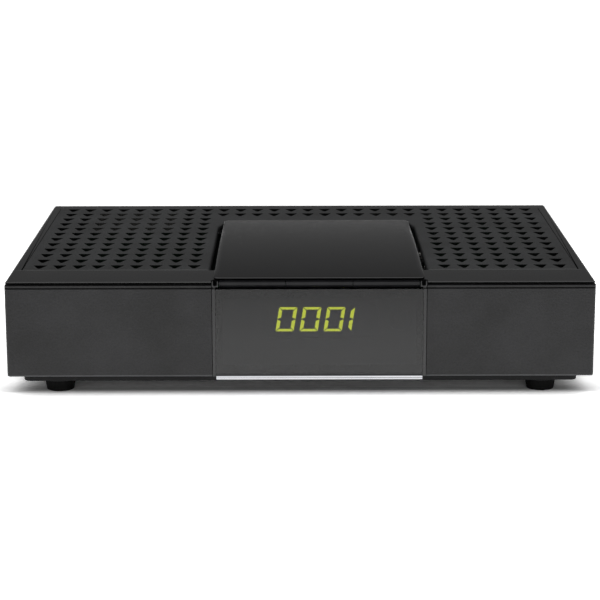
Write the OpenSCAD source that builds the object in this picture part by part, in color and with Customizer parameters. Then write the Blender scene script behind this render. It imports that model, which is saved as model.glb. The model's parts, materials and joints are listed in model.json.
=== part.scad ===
// Small set-top receiver: a moulded case with a perforated top, a framed display window,
// a row of push keys, two boards inside and a steel panel of sockets at the rear.
// Lengths are in millimetres. X runs to the right, Y to the rear, Z up from the table.
// Each module works in depth behind the front face, and place() moves it to the origin.

/* [Body] */
// Width across the front panel
body_w = 168; // [167:0.5:172]
// Depth from the front face to the cover's rear edge
body_d = 118; // [117.5:0.5:122]
// Height of the front panel's face
fascia_h = 26.6; // [26.4:0.1:26.8]
// Height of the front panel's lower edge above the table
fascia_z = 6.2; // [6.1:0.1:6.4]
// Thickness of the moulded case walls
wall = 2; // [1.8:0.1:2.2]
// Radius of the cover's long upper edges
edge_r = 1; // [0.6:0.1:1.4]
// Radius of the front panel's upright corners
corner_r = 1.2; // [0.8:0.1:1.6]

/* [Top] */
// Height of the shadow gap between the front panel and the top cover
shadow_gap = 0.8; // [0.6:0.1:0.8]
// Thickness of the cover's lip over the shadow gap
lip_t = 0.4; // [0.4:0.1:0.6]
// Depth of the smooth border at the front of the top
front_border = 16; // [15.5:0.5:16.5]
// Width of the smooth border along each side of the top
side_border = 3; // [2.6:0.1:3.4]
// Depth of the smooth border at the rear of the top
rear_border = 4.6; // [4:0.1:5]
// Thickness of the perforated panel
grille_t = 1.2; // [1:0.1:1.3]

/* [Vent holes] */
// Number of columns across the panel
vent_columns = 28; // [26:2:28]
// Number of rows from front to rear
vent_rows = 12; // [12:1:12]
// Distance between columns
vent_pitch_x = 5.65; // [5.5:0.05:5.7]
// Distance between rows
vent_pitch_d = 8.14; // [8:0.02:8.2]
// Width of a hole along its rear edge
vent_w = 3.9; // [3.4:0.1:4]
// Length of a hole from front to rear
vent_l = 4.9; // [4.4:0.1:5]

/* [Arched plate] */
// Centre of the plate, right of the middle of the case
bridge_x = 5.4; // [4:0.05:7]
// Width of the plate
bridge_w = 60; // [59.6:0.1:60.4]
// Depth of the plate's rear edge behind the front face
bridge_end = 90.6; // [89:0.1:91]
// Rise of the arch above its chord
bridge_rise = 1.3; // [1:0.1:1.6]
// Width of the open slot along each side
slot_w = 2.4; // [2:0.1:2.4]
// Depth at which the slots end
slot_end = 85.4; // [84:0.1:86]

/* [Window and keys] */
// Width of the window frame
frame_w = 61; // [60.8:0.1:61.4]
// Width of the window frame's visible rim
rim = 0.9; // [0.8:0.05:1]
// Width of the ear at each end of the key row
ear_w = 1.75; // [1.6:0.05:1.9]
// Thickness of the window
window_t = 1.8; // [1.6:0.1:1.8]
// Height of the bright trim strip
trim_h = 1.15; // [1:0.05:1.2]
// How far the trim strip stands out of the front face
trim_proud = 0.4; // [0.3:0.05:0.5]
// Clear gap around each key
key_gap = 0.15; // [0.15:0.05:0.3]
// Height of a key's face
key_h = 2.35; // [2.2:0.05:2.4]
// Travel of a key when it is pressed
key_travel = 0.6; // [0.4:0.05:0.6]

/* [Display] */
// Height of a digit
digit_h = 7.1; // [6.8:0.1:7.4]
// Width of a digit
digit_w = 5.2; // [5:0.05:5.3]
// Distance between digits
digit_pitch = 6.87; // [6.6:0.01:6.9]
// Width of an upright stroke
stroke = 1; // [0.8:0.05:1.1]
// Height of a flat stroke
flat_stroke = 0.7; // [0.6:0.05:0.8]
// Lean of the digits in degrees
lean_angle = 9; // [6:1:10]

/* [Feet] */
// Diameter of a foot at its top
foot_top = 9; // [8:0.1:9.6]
// Diameter of a foot on the table
foot_base = 7.9; // [7.4:0.1:8.2]
// Height of a foot below its boss
foot_h = 3.2; // [3.1:0.05:3.3]
// Distance of a foot's centre from the middle of the case
foot_x = 70; // [69.5:0.1:70.5]

/* [Sockets] */
// Length of the aerial barrels behind the cover's rear edge
aerial_out = 8; // [7:0.5:9]
// Radius of the aerial output's barrel
output_r = 4.75; // [4.7:0.05:4.8]
// Radius of the bore in the aerial input's middle contact
input_bore_r = 1.2; // [1.15:0.05:1.25]
// Radius of the audio socket's outer ring
audio_r = 4.15; // [4.1:0.05:4.2]
// Radius of the hole in the middle of the audio socket
audio_bore_r = 1.65; // [1.6:0.05:1.7]

/* [Hidden] */
$fn = 48;
fit = 0.15;
slip = 0.05;
cut = 1;

// Levels of the case
fascia_top = fascia_z + fascia_h;
lip_low = fascia_top + shadow_gap;
cover_top = lip_low + lip_t;
plate_low = cover_top - wall;
grille_low = cover_top - grille_t;
half_w = body_w / 2;
inner_x = half_w - wall;

// Front panel: the two wings stand in front of a web that runs behind the window
wing_t = 2.6;
web_t = 1.8;
web_back = wing_t + web_t;
web_x = inner_x - 0.4;
web_low = fascia_z + 2;
web_top = fascia_top - 1.4;
cover_front = wing_t + 0.2;
lip_front = 0.2;

// Arched plate and the bay under its front edge where the keys sit
bridge_x0 = bridge_x - bridge_w / 2;
bridge_x1 = bridge_x + bridge_w / 2;
bridge_front = 0.3;
bridge_front_z = cover_top + 1.1;
bridge_back_z = cover_top + 0.3;
bridge_shell = 1.2;
bridge_corner_r = 3;
bridge_nose_r = 1.5;
bay_d = 7.2;
bay_low = cover_top + 0.6;
taper_d = 1.5;
taper_h = 0.25;
chord_d = bridge_end - bridge_front;
chord_z = bridge_back_z - bridge_front_z;
arch_steps = 24;

// Opening for the perforated panel, and the tongue that closes it under the arched plate
panel_x = half_w - side_border;
panel_end = body_d - rear_border;
ledge = 2;
tongue_margin = slot_w + 1.6;
tongue_end = bridge_end + 1.4;
vent_first_d = front_border + 4.25;
full_rows_from = vent_rows - 2;

// Window frame, window and trim strip
frame_x = bridge_x + 0.05;
frame_x0 = frame_x - frame_w / 2;
frame_x1 = frame_x + frame_w / 2;
clear_x0 = frame_x0 + rim;
clear_x1 = frame_x1 - rim;
frame_t = 2.5;
frame_foot = fascia_z + 0.25;
frame_foot_h = 0.6;
frame_foot_back = 0.5;
seat_w = 2;
seat_low = fascia_z + 3.2;
seat_top = web_top - 2.7;
seat_end = web_top - 0.2;
window_low = frame_foot + frame_foot_h + 0.1;
window_top = fascia_top - 1.05;
frame_top = window_top + 0.05;
ear_low = fascia_top - 0.4;
ear_top = cover_top + 0.05;
ear_wall = 0.3;
ear_back = 0.4;
neck_d = 0.9;
window_back = slip + window_t;

// Keys: a rounded face, and a leg behind the web that reaches down to its switch
key_low = fascia_top - 1.15;
key_mid = key_low + key_h / 2;
key_r = key_h / 2;
key_face = 1.6;
key_back = web_back + 0.35;
leg_front = web_back + 0.3;
leg_back = leg_front + 1.4;
leg_w = 8;
key_x0 = frame_x0 + ear_w;
key_span = frame_x1 - ear_w - key_x0;
bay_x = [key_x0 - fit, key_x0 + key_span + fit];
key_w = (key_span - 4 * key_gap) / 3;
key_centres = [for (k = [0:2]) key_x0 + key_gap + key_w / 2 + k * (key_w + key_gap)];

// Front board with the display, the remote-control receiver and the switches
board_t = 1.6;
front_board_d = 9.5;
front_board_back = front_board_d + board_t;
front_board_x0 = frame_x0 + 3;
front_board_x1 = frame_x1 - 2;
front_board_low = fascia_z + 6.4;
front_board_top = web_top + 0.2;
switch_w = 6;
switch_h = 3;
switch_z = front_board_top - 0.1 - switch_h / 2;
switch_front = leg_back + key_travel + 0.4;
leg_low = switch_z - switch_h / 2 + 0.1;
plunger_r = 1;
plunger_end = front_board_d - 0.3 - key_travel;
digits_x = -7.1;
digits_z = fascia_top - 13.95;
segment_t = 0.15;
segment_gap = 0.14;
module_front = 3.2;
module_x0 = digits_x - 2.2;
module_x1 = digits_x + 3 * digit_pitch + digit_w + 3.3;
module_z0 = digits_z - 1.6;
module_z1 = digits_z + digit_h + 1.6;
eye_x = 28.5;
eye_z = digits_z + digit_h / 2;
eye_r = 2.4;
board_boss_x = [front_board_x0 + 3.5, front_board_x1 - 3];
board_boss_z = fascia_z + 8.8;

// Bottom tray
slot_bank_x = 38;
slot_length = 24;
slot_opening = 2;
slot_ds = [for (i = [0:8]) 32 + i * 6];
tray_low = fascia_z - 2.6;
tray_floor = 1.6;
tray_wall = 1.6;
tray_x = half_w - 4;
tray_front = 4.8;
tray_end = body_d - 4.4;
tray_corner_r = 2;
rim_low = fascia_z + 0.1;
rim_top = rim_low + 1.5;
rim_x = inner_x - 0.3;
tray_wall_top = fascia_z + 6.2;
foot_boss_r = foot_top / 2 + 0.55;
foot_front = 10.4;
foot_rear = body_d - 13;
peg_r = 1.8;
peg_h = 1.4;
post_x = 75;
post_ds = [24, 96];
post_r = 2.8;
post_low = fascia_z + 2.8;
post_boss_r = 3.6;
post_pilot_top = fascia_z + 16.2;
screw_r = 1.4;
screw_head_r = 2.8;
screw_head_h = 1.8;
screw_recess = 2.2;

// Main board
main_low = fascia_z + 3.7;
main_top = main_low + board_t;
main_x = 70.5;
main_front = 14;
main_end = body_d - 4.5;
standoffs = [[-66, 22], [66, 22], [-35, 92], [66, 92]];
standoff_r = 3;
board_screw_r = 1.1;
board_screw_head_r = 2.2;
board_screw_head_h = 1.5;

// Rear panel and the sockets that pass through it
rear_t = 1;
rear_d = body_d - 3.5;
rear_back = rear_d + rear_t;
rear_x = inner_x - 0.4;
rear_low = rim_top;
rear_top = plate_low - 0.2;
rear_screw_x = 77;
rear_screw_z = fascia_z + 21.2;
rear_boss_w = 7;
rear_boss_l = 8;
tuner_x0 = -70;
tuner_x1 = -38;
tuner_d = 78;
tuner_top = main_top + 16.5;
can_t = 0.8;
tuner_back = rear_d - 0.3;
aerial_z = main_top + 8.3;
input_x = -62;
output_x = -46;
input_r = 6.2;
input_inner_r = 4.8;
input_contact_r = input_bore_r + 0.8;
output_inner_r = 4.1;
output_pin_r = 1.15;
collar_step = 0.5;
collar_end = rear_back + 0.7;
aerial_end = body_d + aerial_out;
insulator_l = 4;
euro_x = -8.5;
euro_z = main_top + 8.5;
euro_w = 49;
euro_h = 15.6;
euro_front = 101;
euro_back = rear_back + 1.5;
euro_cavity_w = 46;
euro_cavity_h = 12.4;
euro_cavity_d = 9;
euro_island_w = 41.4;
euro_island_h = 7.2;
euro_corner = 3.4;
euro_pitch = 3.81;
euro_row = 3.6;
av_x = 25.5;
av_w = 15;
av_h = 5.8;
av_chamfer = 1.6;
av_front = 104;
port_x = 41.5;
port_w = 13.4;
port_h = 6.2;
port_front = 102;
sheet_t = 0.4;
shell_back = rear_back + 0.8;
audio_x = 54.5;
audio_z = main_top + 6.6;
audio_ring_t = 0.8;
audio_end = rear_back + 8;
audio_block_w = 10;
audio_block_h = 11;
audio_block_d = 104;
power_x = 65.5;
power_w = 9;
power_h = 11;
power_z = main_top + 6.4;
power_front = 102;
power_back = rear_back + 1;
power_bore_r = 3.1;
power_bore_l = 9.5;
power_pin_r = 1;

// Parts on the main board
chip_x = 8;
chip_d = 54;
chip_w = 19;
chip_h = 1.4;
sink_w = 30;
sink_base = 2;
sink_h = 9;
sink_fins = 9;
fin_t = 1.2;
ribbon_x = 6;
ribbon_w = 16;
ribbon_t = 0.3;
ribbon_z = main_top + 6.4;
ribbon_d = 21.5;
ribbon_socket_h = 3.5;
ribbon_socket_t = 2.8;
memory_x = [-26, -12];
memory_ds = [44, 60];
memory_w = 9;
memory_h = 1.1;
coil_x = [50, 57];
coil_ds = [62, 74, 86];
coil_h = 4;
capacitor_x = 38;
capacitor_ds = [for (i = [0:5]) 40 + i * 10];
capacitor_r = 3.2;
capacitor_h = 9;
crystal_x = [-4, 7];
crystal_d = [30, 34.6];
crystal_h = 3.4;

front_y = -(body_d + aerial_out - trim_proud) / 2;

// Moves a piece from depth behind the front face to the part's own origin
module place() {
    translate([0, front_y, 0]) children();
}

// Block between two limits on each axis
module block(x, d, z) {
    translate([x[0], d[0], z[0]]) cube([x[1] - x[0], d[1] - d[0], z[1] - z[0]]);
}

// Extrudes an outline drawn in width and height from depth d0 to depth d1
module along_depth(d0, d1) {
    translate([0, d1, 0]) rotate([90, 0, 0]) linear_extrude(d1 - d0) children();
}

// Extrudes an outline drawn in depth and height from x0 to x1
module along_width(x0, x1) {
    translate([x0, 0, 0]) rotate([90, 0, 90]) linear_extrude(x1 - x0) children();
}

// Round bar along the depth
module bar(x, z, d0, d1, r) {
    translate([x, d0, z]) rotate([-90, 0, 0]) cylinder(r = r, h = d1 - d0);
}

// Upright round post
module post(x, d, z0, z1, r) {
    translate([x, d, z0]) cylinder(r = r, h = z1 - z0);
}

// Rectangle between two limits on each axis
module pane(u, v) {
    translate([u[0], v[0]]) square([u[1] - u[0], v[1] - v[0]]);
}

// Rectangle with four round corners
module round_pane(u, v, r) {
    pane([u[0] + r, u[1] - r], v);
    pane(u, [v[0] + r, v[1] - r]);
    for (a = [u[0] + r, u[1] - r], b = [v[0] + r, v[1] - r]) {
        translate([a, b]) circle(r);
    }
}

// Cover's outline seen from the front, with its two long upper edges rounded
module cover_outline() {
    pane([-half_w, half_w], [fascia_z, cover_top - edge_r]);
    pane([-half_w + edge_r, half_w - edge_r], [fascia_z, cover_top]);
    for (side = [-1, 1]) {
        translate([side * (half_w - edge_r), cover_top - edge_r]) circle(edge_r);
    }
}

module cover_shell() {
    along_depth(cover_front, body_d) difference() {
        cover_outline();
        pane([-inner_x, inner_x], [fascia_z - cut, plate_low]);
    }
    along_depth(lip_front, cover_front) intersection() {
        cover_outline();
        pane([-half_w, half_w], [lip_low, cover_top]);
    }
}

// Screw posts at the sides, each tied to its wall by a rib
module cover_posts() {
    for (side = [-1, 1], d = post_ds) {
        post(side * post_x, d, post_low, plate_low, post_r);
        rib_x = side > 0 ? [post_x, inner_x + slip] : [-inner_x - slip, -post_x];
        block(rib_x, [d - 1, d + 1], [tray_wall_top + 0.4, plate_low]);
    }
}

module rear_bosses() {
    for (side = [-1, 1]) {
        inner = rear_screw_x - rear_boss_w / 2;
        outer = inner_x + slip;
        block(side > 0 ? [inner, outer] : [-outer, -inner], [rear_d - rear_boss_l, rear_d],
            [rear_screw_z - rear_boss_w / 2, plate_low + slip]);
    }
}

module top_cover() {
    color("#2b2c2e") difference() {
        union() {
            cover_shell();
            cover_posts();
            rear_bosses();
        }
        block([-panel_x, panel_x], [front_border, panel_end], [grille_low, cover_top + cut]);
        translate([0, 0, plate_low - cut]) linear_extrude(wall + 2 * cut) difference() {
            pane([-panel_x + ledge, panel_x - ledge], [front_border + ledge, panel_end - ledge]);
            pane([bridge_x0 - tongue_margin, bridge_x1 + tongue_margin], [0, tongue_end]);
            for (side = [-1, 1], d = post_ds) {
                translate([side * post_x, d]) circle(post_r);
            }
        }
        block([frame_x0 - fit, frame_x1 + fit], [-cut, frame_t + fit], [plate_low - cut, cover_top + cut]);
        block(bay_x, [-cut, bay_d], [plate_low - cut, cover_top + cut]);
        for (x = [bridge_x0 - slot_w, bridge_x1]) {
            block([x, x + slot_w], [front_border, slot_end], [plate_low - cut, cover_top + cut]);
        }
        for (side = [-1, 1]) {
            for (d = post_ds) {
                post(side * post_x, d, post_low - cut, post_pilot_top, screw_r + slip);
            }
            bar(side * rear_screw_x, rear_screw_z, rear_d - rear_boss_l - cut, rear_d + cut, screw_r + slip);
        }
    }
}

// One hole: the point looks to the front, the flat edge to the rear
module vent_hole() {
    polygon([[0, -vent_l / 2], [vent_w / 2, vent_l / 2], [-vent_w / 2, vent_l / 2]]);
}

function column_x(c) = (c - (vent_columns - 1) / 2) * vent_pitch_x;
function under_bridge(x) = x > bridge_x0 - vent_pitch_x && x < bridge_x1 + vent_pitch_x;

module vent_grille() {
    color("#303133") translate([0, 0, grille_low]) linear_extrude(grille_t) difference() {
        pane([-panel_x + fit, panel_x - fit], [front_border + fit, panel_end - fit]);
        pane([bridge_x0 - slot_w, bridge_x1 + slot_w], [front_border - cut, slot_end]);
        for (row = [0:vent_rows - 1], c = [0:vent_columns - 1]) {
            if (row >= full_rows_from || !under_bridge(column_x(c))) {
                translate([column_x(c), vent_first_d + row * vent_pitch_d]) vent_hole();
            }
        }
    }
}

// Height of the arch at a depth: the straight chord plus a shallow parabola
function arch_z(d) = let (t = (d - bridge_front) / chord_d)
    bridge_front_z + chord_z * t + bridge_rise * 4 * t * (1 - t);

// Points along the arch between two depths, lowered by a drop
function arch_points(d0, d1, drop) = [for (i = [0:arch_steps])
    let (d = d0 + (d1 - d0) * i / arch_steps) [d, arch_z(d) - drop]];

module bridge_outline() {
    polygon(concat([[bay_d, cover_top], [bay_d, bay_low], [bridge_front + taper_d, bay_low],
        [bridge_front, bay_low + taper_h]],
        arch_points(bridge_front, bridge_end, 0), [[bridge_end, cover_top]]));
}

// Space under the plate, open downwards
module bridge_hollow() {
    d0 = bay_d + bridge_shell;
    d1 = slot_end - bridge_shell;
    polygon(concat([[d0, cover_top - cut]], arch_points(d0, d1, bridge_shell), [[d1, cover_top - cut]]));
}

module bridge_cover() {
    skirt = [front_border + 2 * fit, slot_end - fit];
    color("#26272a") difference() {
        union() {
            intersection() {
                along_width(bridge_x0, bridge_x1) bridge_outline();
                linear_extrude(cover_top + 10) {
                    round_pane([bridge_x0, bridge_x1], [bridge_front, slot_end], bridge_nose_r);
                    round_pane([bridge_x0, bridge_x1], [slot_end - 10, bridge_end], bridge_corner_r);
                }
            }
            for (x = [[bridge_x0, bay_x[0]], [bay_x[1], bridge_x1]]) {
                block(x, [frame_t + 2 * fit, bay_d + slip], [cover_top, bay_low + slip]);
            }
            block([bridge_x0, bridge_x0 + bridge_shell], skirt, [grille_low, cover_top]);
            block([bridge_x1 - bridge_shell, bridge_x1], skirt, [grille_low, cover_top]);
        }
        along_width(bridge_x0 + bridge_shell, bridge_x1 - bridge_shell) bridge_hollow();
    }
}

// One wing of the front panel, from the window out to its rounded upright corner
module wing(inner, outer) {
    side = sign(outer - inner);
    round_x = outer - side * corner_r;
    translate([0, 0, fascia_z]) linear_extrude(fascia_h) {
        pane([min(inner, round_x), max(inner, round_x)], [0, wing_t]);
        pane([min(inner, outer), max(inner, outer)], [corner_r, wing_t]);
        translate([round_x, corner_r]) circle(corner_r);
    }
}

module front_panel() {
    color("#2f3032") difference() {
        union() {
            wing(frame_x0 - fit, -half_w);
            wing(frame_x1 + fit, half_w);
            block([-web_x, web_x], [wing_t, web_back], [web_low, web_top]);
            block(bay_x, [wing_t, web_back], [web_top - slip, key_low - fit]);
            for (x = board_boss_x) {
                bar(x, board_boss_z, web_back - slip, front_board_d, 2.6);
            }
        }
        block([module_x0 - 0.4, module_x1 + 0.4], [wing_t - cut, web_back + cut],
            [module_z0 - 0.4, module_z1 + 0.2]);
        bar(eye_x, eye_z, wing_t - cut, web_back + cut, eye_r + 1);
        for (x = board_boss_x) {
            bar(x, board_boss_z, web_back, front_board_d + cut, board_screw_r + slip);
        }
    }
}

// Ear at one end of the key row: a small trough, open at the front and at the top
module ear(x) {
    difference() {
        block([x, x + ear_w], [0, frame_t], [ear_low, ear_top]);
        block([x + ear_wall, x + ear_w - ear_wall], [-cut, frame_t - ear_back],
            [ear_low + ear_wall, ear_top + cut]);
    }
}

module window_frame() {
    color("#3a3b3d") {
        block([frame_x0, clear_x0], [0, frame_t], [fascia_z, frame_top]);
        block([clear_x1, frame_x1], [0, frame_t], [fascia_z, frame_top]);
        ear(frame_x0);
        ear(frame_x1 - ear_w);
        for (x = [frame_x0, clear_x1]) {
            block([x, x + rim], [neck_d, frame_t], [frame_top - slip, ear_low + slip]);
        }
        block([clear_x0, clear_x1], [frame_foot_back, frame_t], [frame_foot, frame_foot + frame_foot_h]);
        along_depth(window_back, frame_t) difference() {
            pane([clear_x0, clear_x1], [frame_foot, seat_end]);
            pane([clear_x0 + seat_w, clear_x1 - seat_w], [seat_low, seat_top]);
        }
    }
}

module display_window() {
    color("#3c3d40") block([clear_x0 + slip, clear_x1 - slip], [slip, window_back], [window_low, window_top]);
}

module trim_strip() {
    color("#d6d7d9") block([clear_x0 + slip, clear_x1 - slip], [-trim_proud, frame_t],
        [frame_foot - trim_h, frame_foot]);
}

// Key k of the row, counted from the left
module key(k) {
    x = key_centres[k];
    color("#141517") {
        along_width(x - key_w / 2, x + key_w / 2) {
            pane([key_face + key_r, key_back], [key_low, key_low + key_h]);
            translate([key_face + key_r, key_mid]) circle(key_r);
        }
        block([x - leg_w / 2, x + leg_w / 2], [leg_front, leg_back], [leg_low, key_low + key_h]);
    }
}

module plunger(k) {
    color("#e8e4d8") bar(key_centres[k], switch_z, leg_back, plunger_end, plunger_r);
}

module switch(k) {
    x = key_centres[k];
    color("#1c1c1e") difference() {
        block([x - switch_w / 2, x + switch_w / 2], [switch_front, front_board_d],
            [switch_z - switch_h / 2, switch_z + switch_h / 2]);
        bar(x, switch_z, switch_front - cut, front_board_d - 0.2, plunger_r + 0.2);
    }
}

module display_module() {
    color("#17181a") block([module_x0, module_x1], [module_front, front_board_d], [module_z0, module_z1]);
}

// Segments of a digit, drawn upright from the lower left corner of its cell
function top_stroke() = [[segment_gap, digit_h], [digit_w - segment_gap, digit_h],
    [digit_w - flat_stroke - segment_gap, digit_h - flat_stroke],
    [flat_stroke + segment_gap, digit_h - flat_stroke]];
function left_stroke() = [[0, digit_h - segment_gap], [stroke, digit_h - stroke - segment_gap],
    [stroke, digit_h / 2 + stroke / 2], [0, digit_h / 2 + segment_gap]];
function middle_stroke() = [[segment_gap, digit_h / 2], [stroke, digit_h / 2 + stroke / 2 - segment_gap],
    [digit_w - stroke, digit_h / 2 + stroke / 2 - segment_gap], [digit_w - segment_gap, digit_h / 2],
    [digit_w - stroke, digit_h / 2 - stroke / 2 + segment_gap],
    [stroke, digit_h / 2 - stroke / 2 + segment_gap]];
function turned(points) = [for (i = [len(points) - 1:-1:0]) points[i]];
function across(points) = turned([for (p = points) [digit_w - p[0], p[1]]]);
function below(points) = turned([for (p = points) [p[0], digit_h - p[1]]]);
function leaning(points) = [for (p = points) [p[0] + p[1] * tan(lean_angle), p[1]]];
segments = [top_stroke(), across(left_stroke()), below(across(left_stroke())), below(top_stroke()),
    below(left_stroke()), left_stroke(), middle_stroke()];

// Numbers of the segments that are lit in each digit, for a reading of 0001
zero = [0, 1, 2, 3, 4, 5];
one = [4, 5];
reading = [zero, zero, zero, one];
function is_lit(digit, s) = len(search(s, reading[digit])) > 0;

module show_segments(lit) {
    for (digit = [0:3], s = [0:6]) {
        if (is_lit(digit, s) == lit) {
            translate([digits_x + digit * digit_pitch, 0, digits_z])
                along_depth(module_front - segment_t, module_front) polygon(leaning(segments[s]));
        }
    }
}

module lit_segments() {
    color("#c8d428") show_segments(true);
}

module dark_segments() {
    color("#242522") show_segments(false);
}

module infrared_receiver() {
    color("#221c20") {
        block([eye_x - 2.6, eye_x + 2.6], [front_board_d - 3, front_board_d], [eye_z - 3.2, eye_z + 3.2]);
        bar(eye_x, eye_z, front_board_d - 4, front_board_d - 2.9, eye_r);
    }
}

module front_board() {
    color("#2f6b3c") difference() {
        block([front_board_x0, front_board_x1], [front_board_d, front_board_back],
            [front_board_low, front_board_top]);
        for (x = board_boss_x) {
            bar(x, board_boss_z, front_board_d - cut, front_board_back + cut, board_screw_r + 0.3);
        }
    }
}

module front_board_screws() {
    color("#b9bcc0") for (x = board_boss_x) {
        bar(x, board_boss_z, web_back + 1, front_board_back + slip, board_screw_r);
        bar(x, board_boss_z, front_board_back, front_board_back + board_screw_head_h, board_screw_head_r);
    }
}

// Tray's plan outline, drawn in by a margin
module tray_outline(margin) {
    round_pane([-tray_x + margin, tray_x - margin], [tray_front + margin, tray_end - margin],
        tray_corner_r - margin);
}

module tray_shell() {
    translate([0, 0, tray_low]) linear_extrude(tray_floor) tray_outline(0);
    translate([0, 0, tray_low]) linear_extrude(rim_top - tray_low) difference() {
        tray_outline(0);
        tray_outline(tray_wall);
    }
    translate([0, 0, rim_low]) linear_extrude(rim_top - rim_low) difference() {
        pane([-rim_x, rim_x], [tray_front, rear_back + 1.5]);
        tray_outline(tray_wall);
    }
    translate([0, 0, rim_low]) linear_extrude(tray_wall_top - rim_low) difference() {
        pane([-rim_x, rim_x], [tray_front, rear_d - 0.2]);
        pane([-rim_x + tray_wall, rim_x - tray_wall], [tray_front + tray_wall, body_d]);
    }
}

// Vent slots in two banks, one at each side of the floor
module tray_slots() {
    for (side = [-1, 1], d = slot_ds) {
        x = side * slot_bank_x;
        block([x - slot_length / 2, x + slot_length / 2], [d, d + slot_opening],
            [tray_low - cut, tray_low + tray_floor + cut]);
    }
}

module bottom_tray() {
    color("#1d1e20") difference() {
        union() {
            tray_shell();
            for (p = standoffs) {
                post(p[0], p[1], tray_low + slip, main_low, standoff_r);
            }
            for (side = [-1, 1]) {
                for (d = post_ds) {
                    post(side * post_x, d, tray_low + slip, post_low, post_boss_r);
                }
                for (d = [foot_front, foot_rear]) {
                    post(side * foot_x, d, foot_h, tray_low + slip, foot_boss_r);
                }
            }
        }
        tray_slots();
        for (p = standoffs) {
            post(p[0], p[1], tray_low + tray_floor, main_low + cut, board_screw_r + slip);
        }
        for (side = [-1, 1]) {
            for (d = post_ds) {
                post(side * post_x, d, tray_low - cut, post_low + cut, screw_r + 0.3);
                post(side * post_x, d, tray_low - cut, tray_low + screw_recess, screw_head_r + 0.3);
            }
            for (d = [foot_front, foot_rear]) {
                post(side * foot_x, d, foot_h - cut, foot_h + peg_h + slip, peg_r + slip);
            }
        }
    }
}

// Rubber foot with the peg that holds it in the tray
module foot(side, d) {
    color("#0d0d0e") translate([side * foot_x, d, 0]) rotate_extrude() polygon([[0, 0], [foot_base / 2, 0],
        [foot_top / 2, foot_h], [peg_r, foot_h], [peg_r, foot_h + peg_h], [0, foot_h + peg_h]]);
}

module case_screws() {
    head_top = tray_low + screw_recess;
    color("#8d9094") for (side = [-1, 1], d = post_ds) {
        post(side * post_x, d, head_top - screw_head_h, head_top, screw_head_r);
        post(side * post_x, d, head_top - slip, post_pilot_top - 2, screw_r);
    }
}

// Outline of the digital picture and sound socket, wider at its top edge
module av_outline(margin) {
    w = av_w / 2 - margin;
    h = av_h / 2 - margin;
    polygon([[-w, h], [w, h], [w, av_chamfer - h], [w - av_chamfer, -h], [av_chamfer - w, -h],
        [-w, av_chamfer - h]]);
}

av_z = main_top + av_h / 2 + 0.1;
port_z = main_top + port_h / 2 + 0.1;

module rear_panel() {
    color("#3a3b3d") along_depth(rear_d, rear_back) difference() {
        pane([-rear_x, rear_x], [rear_low, rear_top]);
        translate([input_x, aerial_z]) circle(input_r + 0.3);
        translate([output_x, aerial_z]) circle(output_r + collar_step + 0.3);
        pane([euro_x - euro_w / 2 - 0.3, euro_x + euro_w / 2 + 0.3],
            [euro_z - euro_h / 2 - 0.3, euro_z + euro_h / 2 + 0.3]);
        translate([av_x, av_z]) av_outline(-0.3);
        pane([port_x - port_w / 2 - 0.3, port_x + port_w / 2 + 0.3],
            [port_z - port_h / 2 - 0.3, port_z + port_h / 2 + 0.3]);
        translate([audio_x, audio_z]) circle(audio_r + collar_step + 0.3);
        pane([power_x - power_w / 2 - 0.2, power_x + power_w / 2 + 0.2],
            [main_top - 0.1, main_top + power_h + 0.2]);
        for (side = [-1, 1]) {
            translate([side * rear_screw_x, rear_screw_z]) circle(screw_r + 0.3);
        }
    }
}

module rear_screws() {
    color("#b9bcc0") for (side = [-1, 1]) {
        bar(side * rear_screw_x, rear_screw_z, rear_d - rear_boss_l + 1, rear_back + slip, screw_r);
        bar(side * rear_screw_x, rear_screw_z, rear_back, rear_back + screw_head_h, screw_head_r);
    }
}

module main_board() {
    color("#2f6b3c") difference() {
        block([-main_x, main_x], [main_front, main_end], [main_low, main_top]);
        for (p = standoffs) {
            post(p[0], p[1], main_low - cut, main_top + cut, board_screw_r + 0.3);
        }
    }
}

module board_screws() {
    color("#b9bcc0") for (p = standoffs) {
        post(p[0], p[1], tray_low + tray_floor + 0.5, main_top + slip, board_screw_r);
        post(p[0], p[1], main_top, main_top + board_screw_head_h, board_screw_head_r);
    }
}

// Flat cable: straight back from the front board, then a quarter turn down to the main board
module ribbon_cable() {
    turn_r = ribbon_z - main_top - ribbon_socket_h;
    turn_d = ribbon_d - turn_r;
    start = front_board_back + ribbon_socket_t;
    color("#d9dbdd") along_width(ribbon_x - ribbon_w / 2, ribbon_x + ribbon_w / 2) {
        pane([start, turn_d], [ribbon_z - ribbon_t / 2, ribbon_z + ribbon_t / 2]);
        translate([turn_d, ribbon_z - turn_r]) intersection() {
            difference() {
                circle(turn_r + ribbon_t / 2);
                circle(turn_r - ribbon_t / 2);
            }
            pane([0, turn_r + ribbon_t], [0, turn_r + ribbon_t]);
        }
    }
}

module ribbon_sockets() {
    half = ribbon_w / 2 + 1;
    color("#ece7da") {
        block([ribbon_x - half, ribbon_x + half], [front_board_back, front_board_back + ribbon_socket_t],
            [ribbon_z - 1.5, ribbon_z + 1.5]);
        block([ribbon_x - half, ribbon_x + half], [ribbon_d - 1.5, ribbon_d + 1.5],
            [main_top, main_top + ribbon_socket_h]);
    }
}

module processor() {
    color("#1b1c1e") block([chip_x - chip_w / 2, chip_x + chip_w / 2],
        [chip_d - chip_w / 2, chip_d + chip_w / 2], [main_top, main_top + chip_h]);
}

module heat_sink() {
    low = main_top + chip_h;
    x0 = chip_x - sink_w / 2;
    depth = [chip_d - sink_w / 2, chip_d + sink_w / 2];
    step = (sink_w - fin_t) / (sink_fins - 1);
    color("#9da2a8") {
        block([x0, x0 + sink_w], depth, [low, low + sink_base]);
        for (i = [0:sink_fins - 1]) {
            block([x0 + i * step, x0 + i * step + fin_t], depth, [low + sink_base - slip, low + sink_h]);
        }
    }
}

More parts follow.
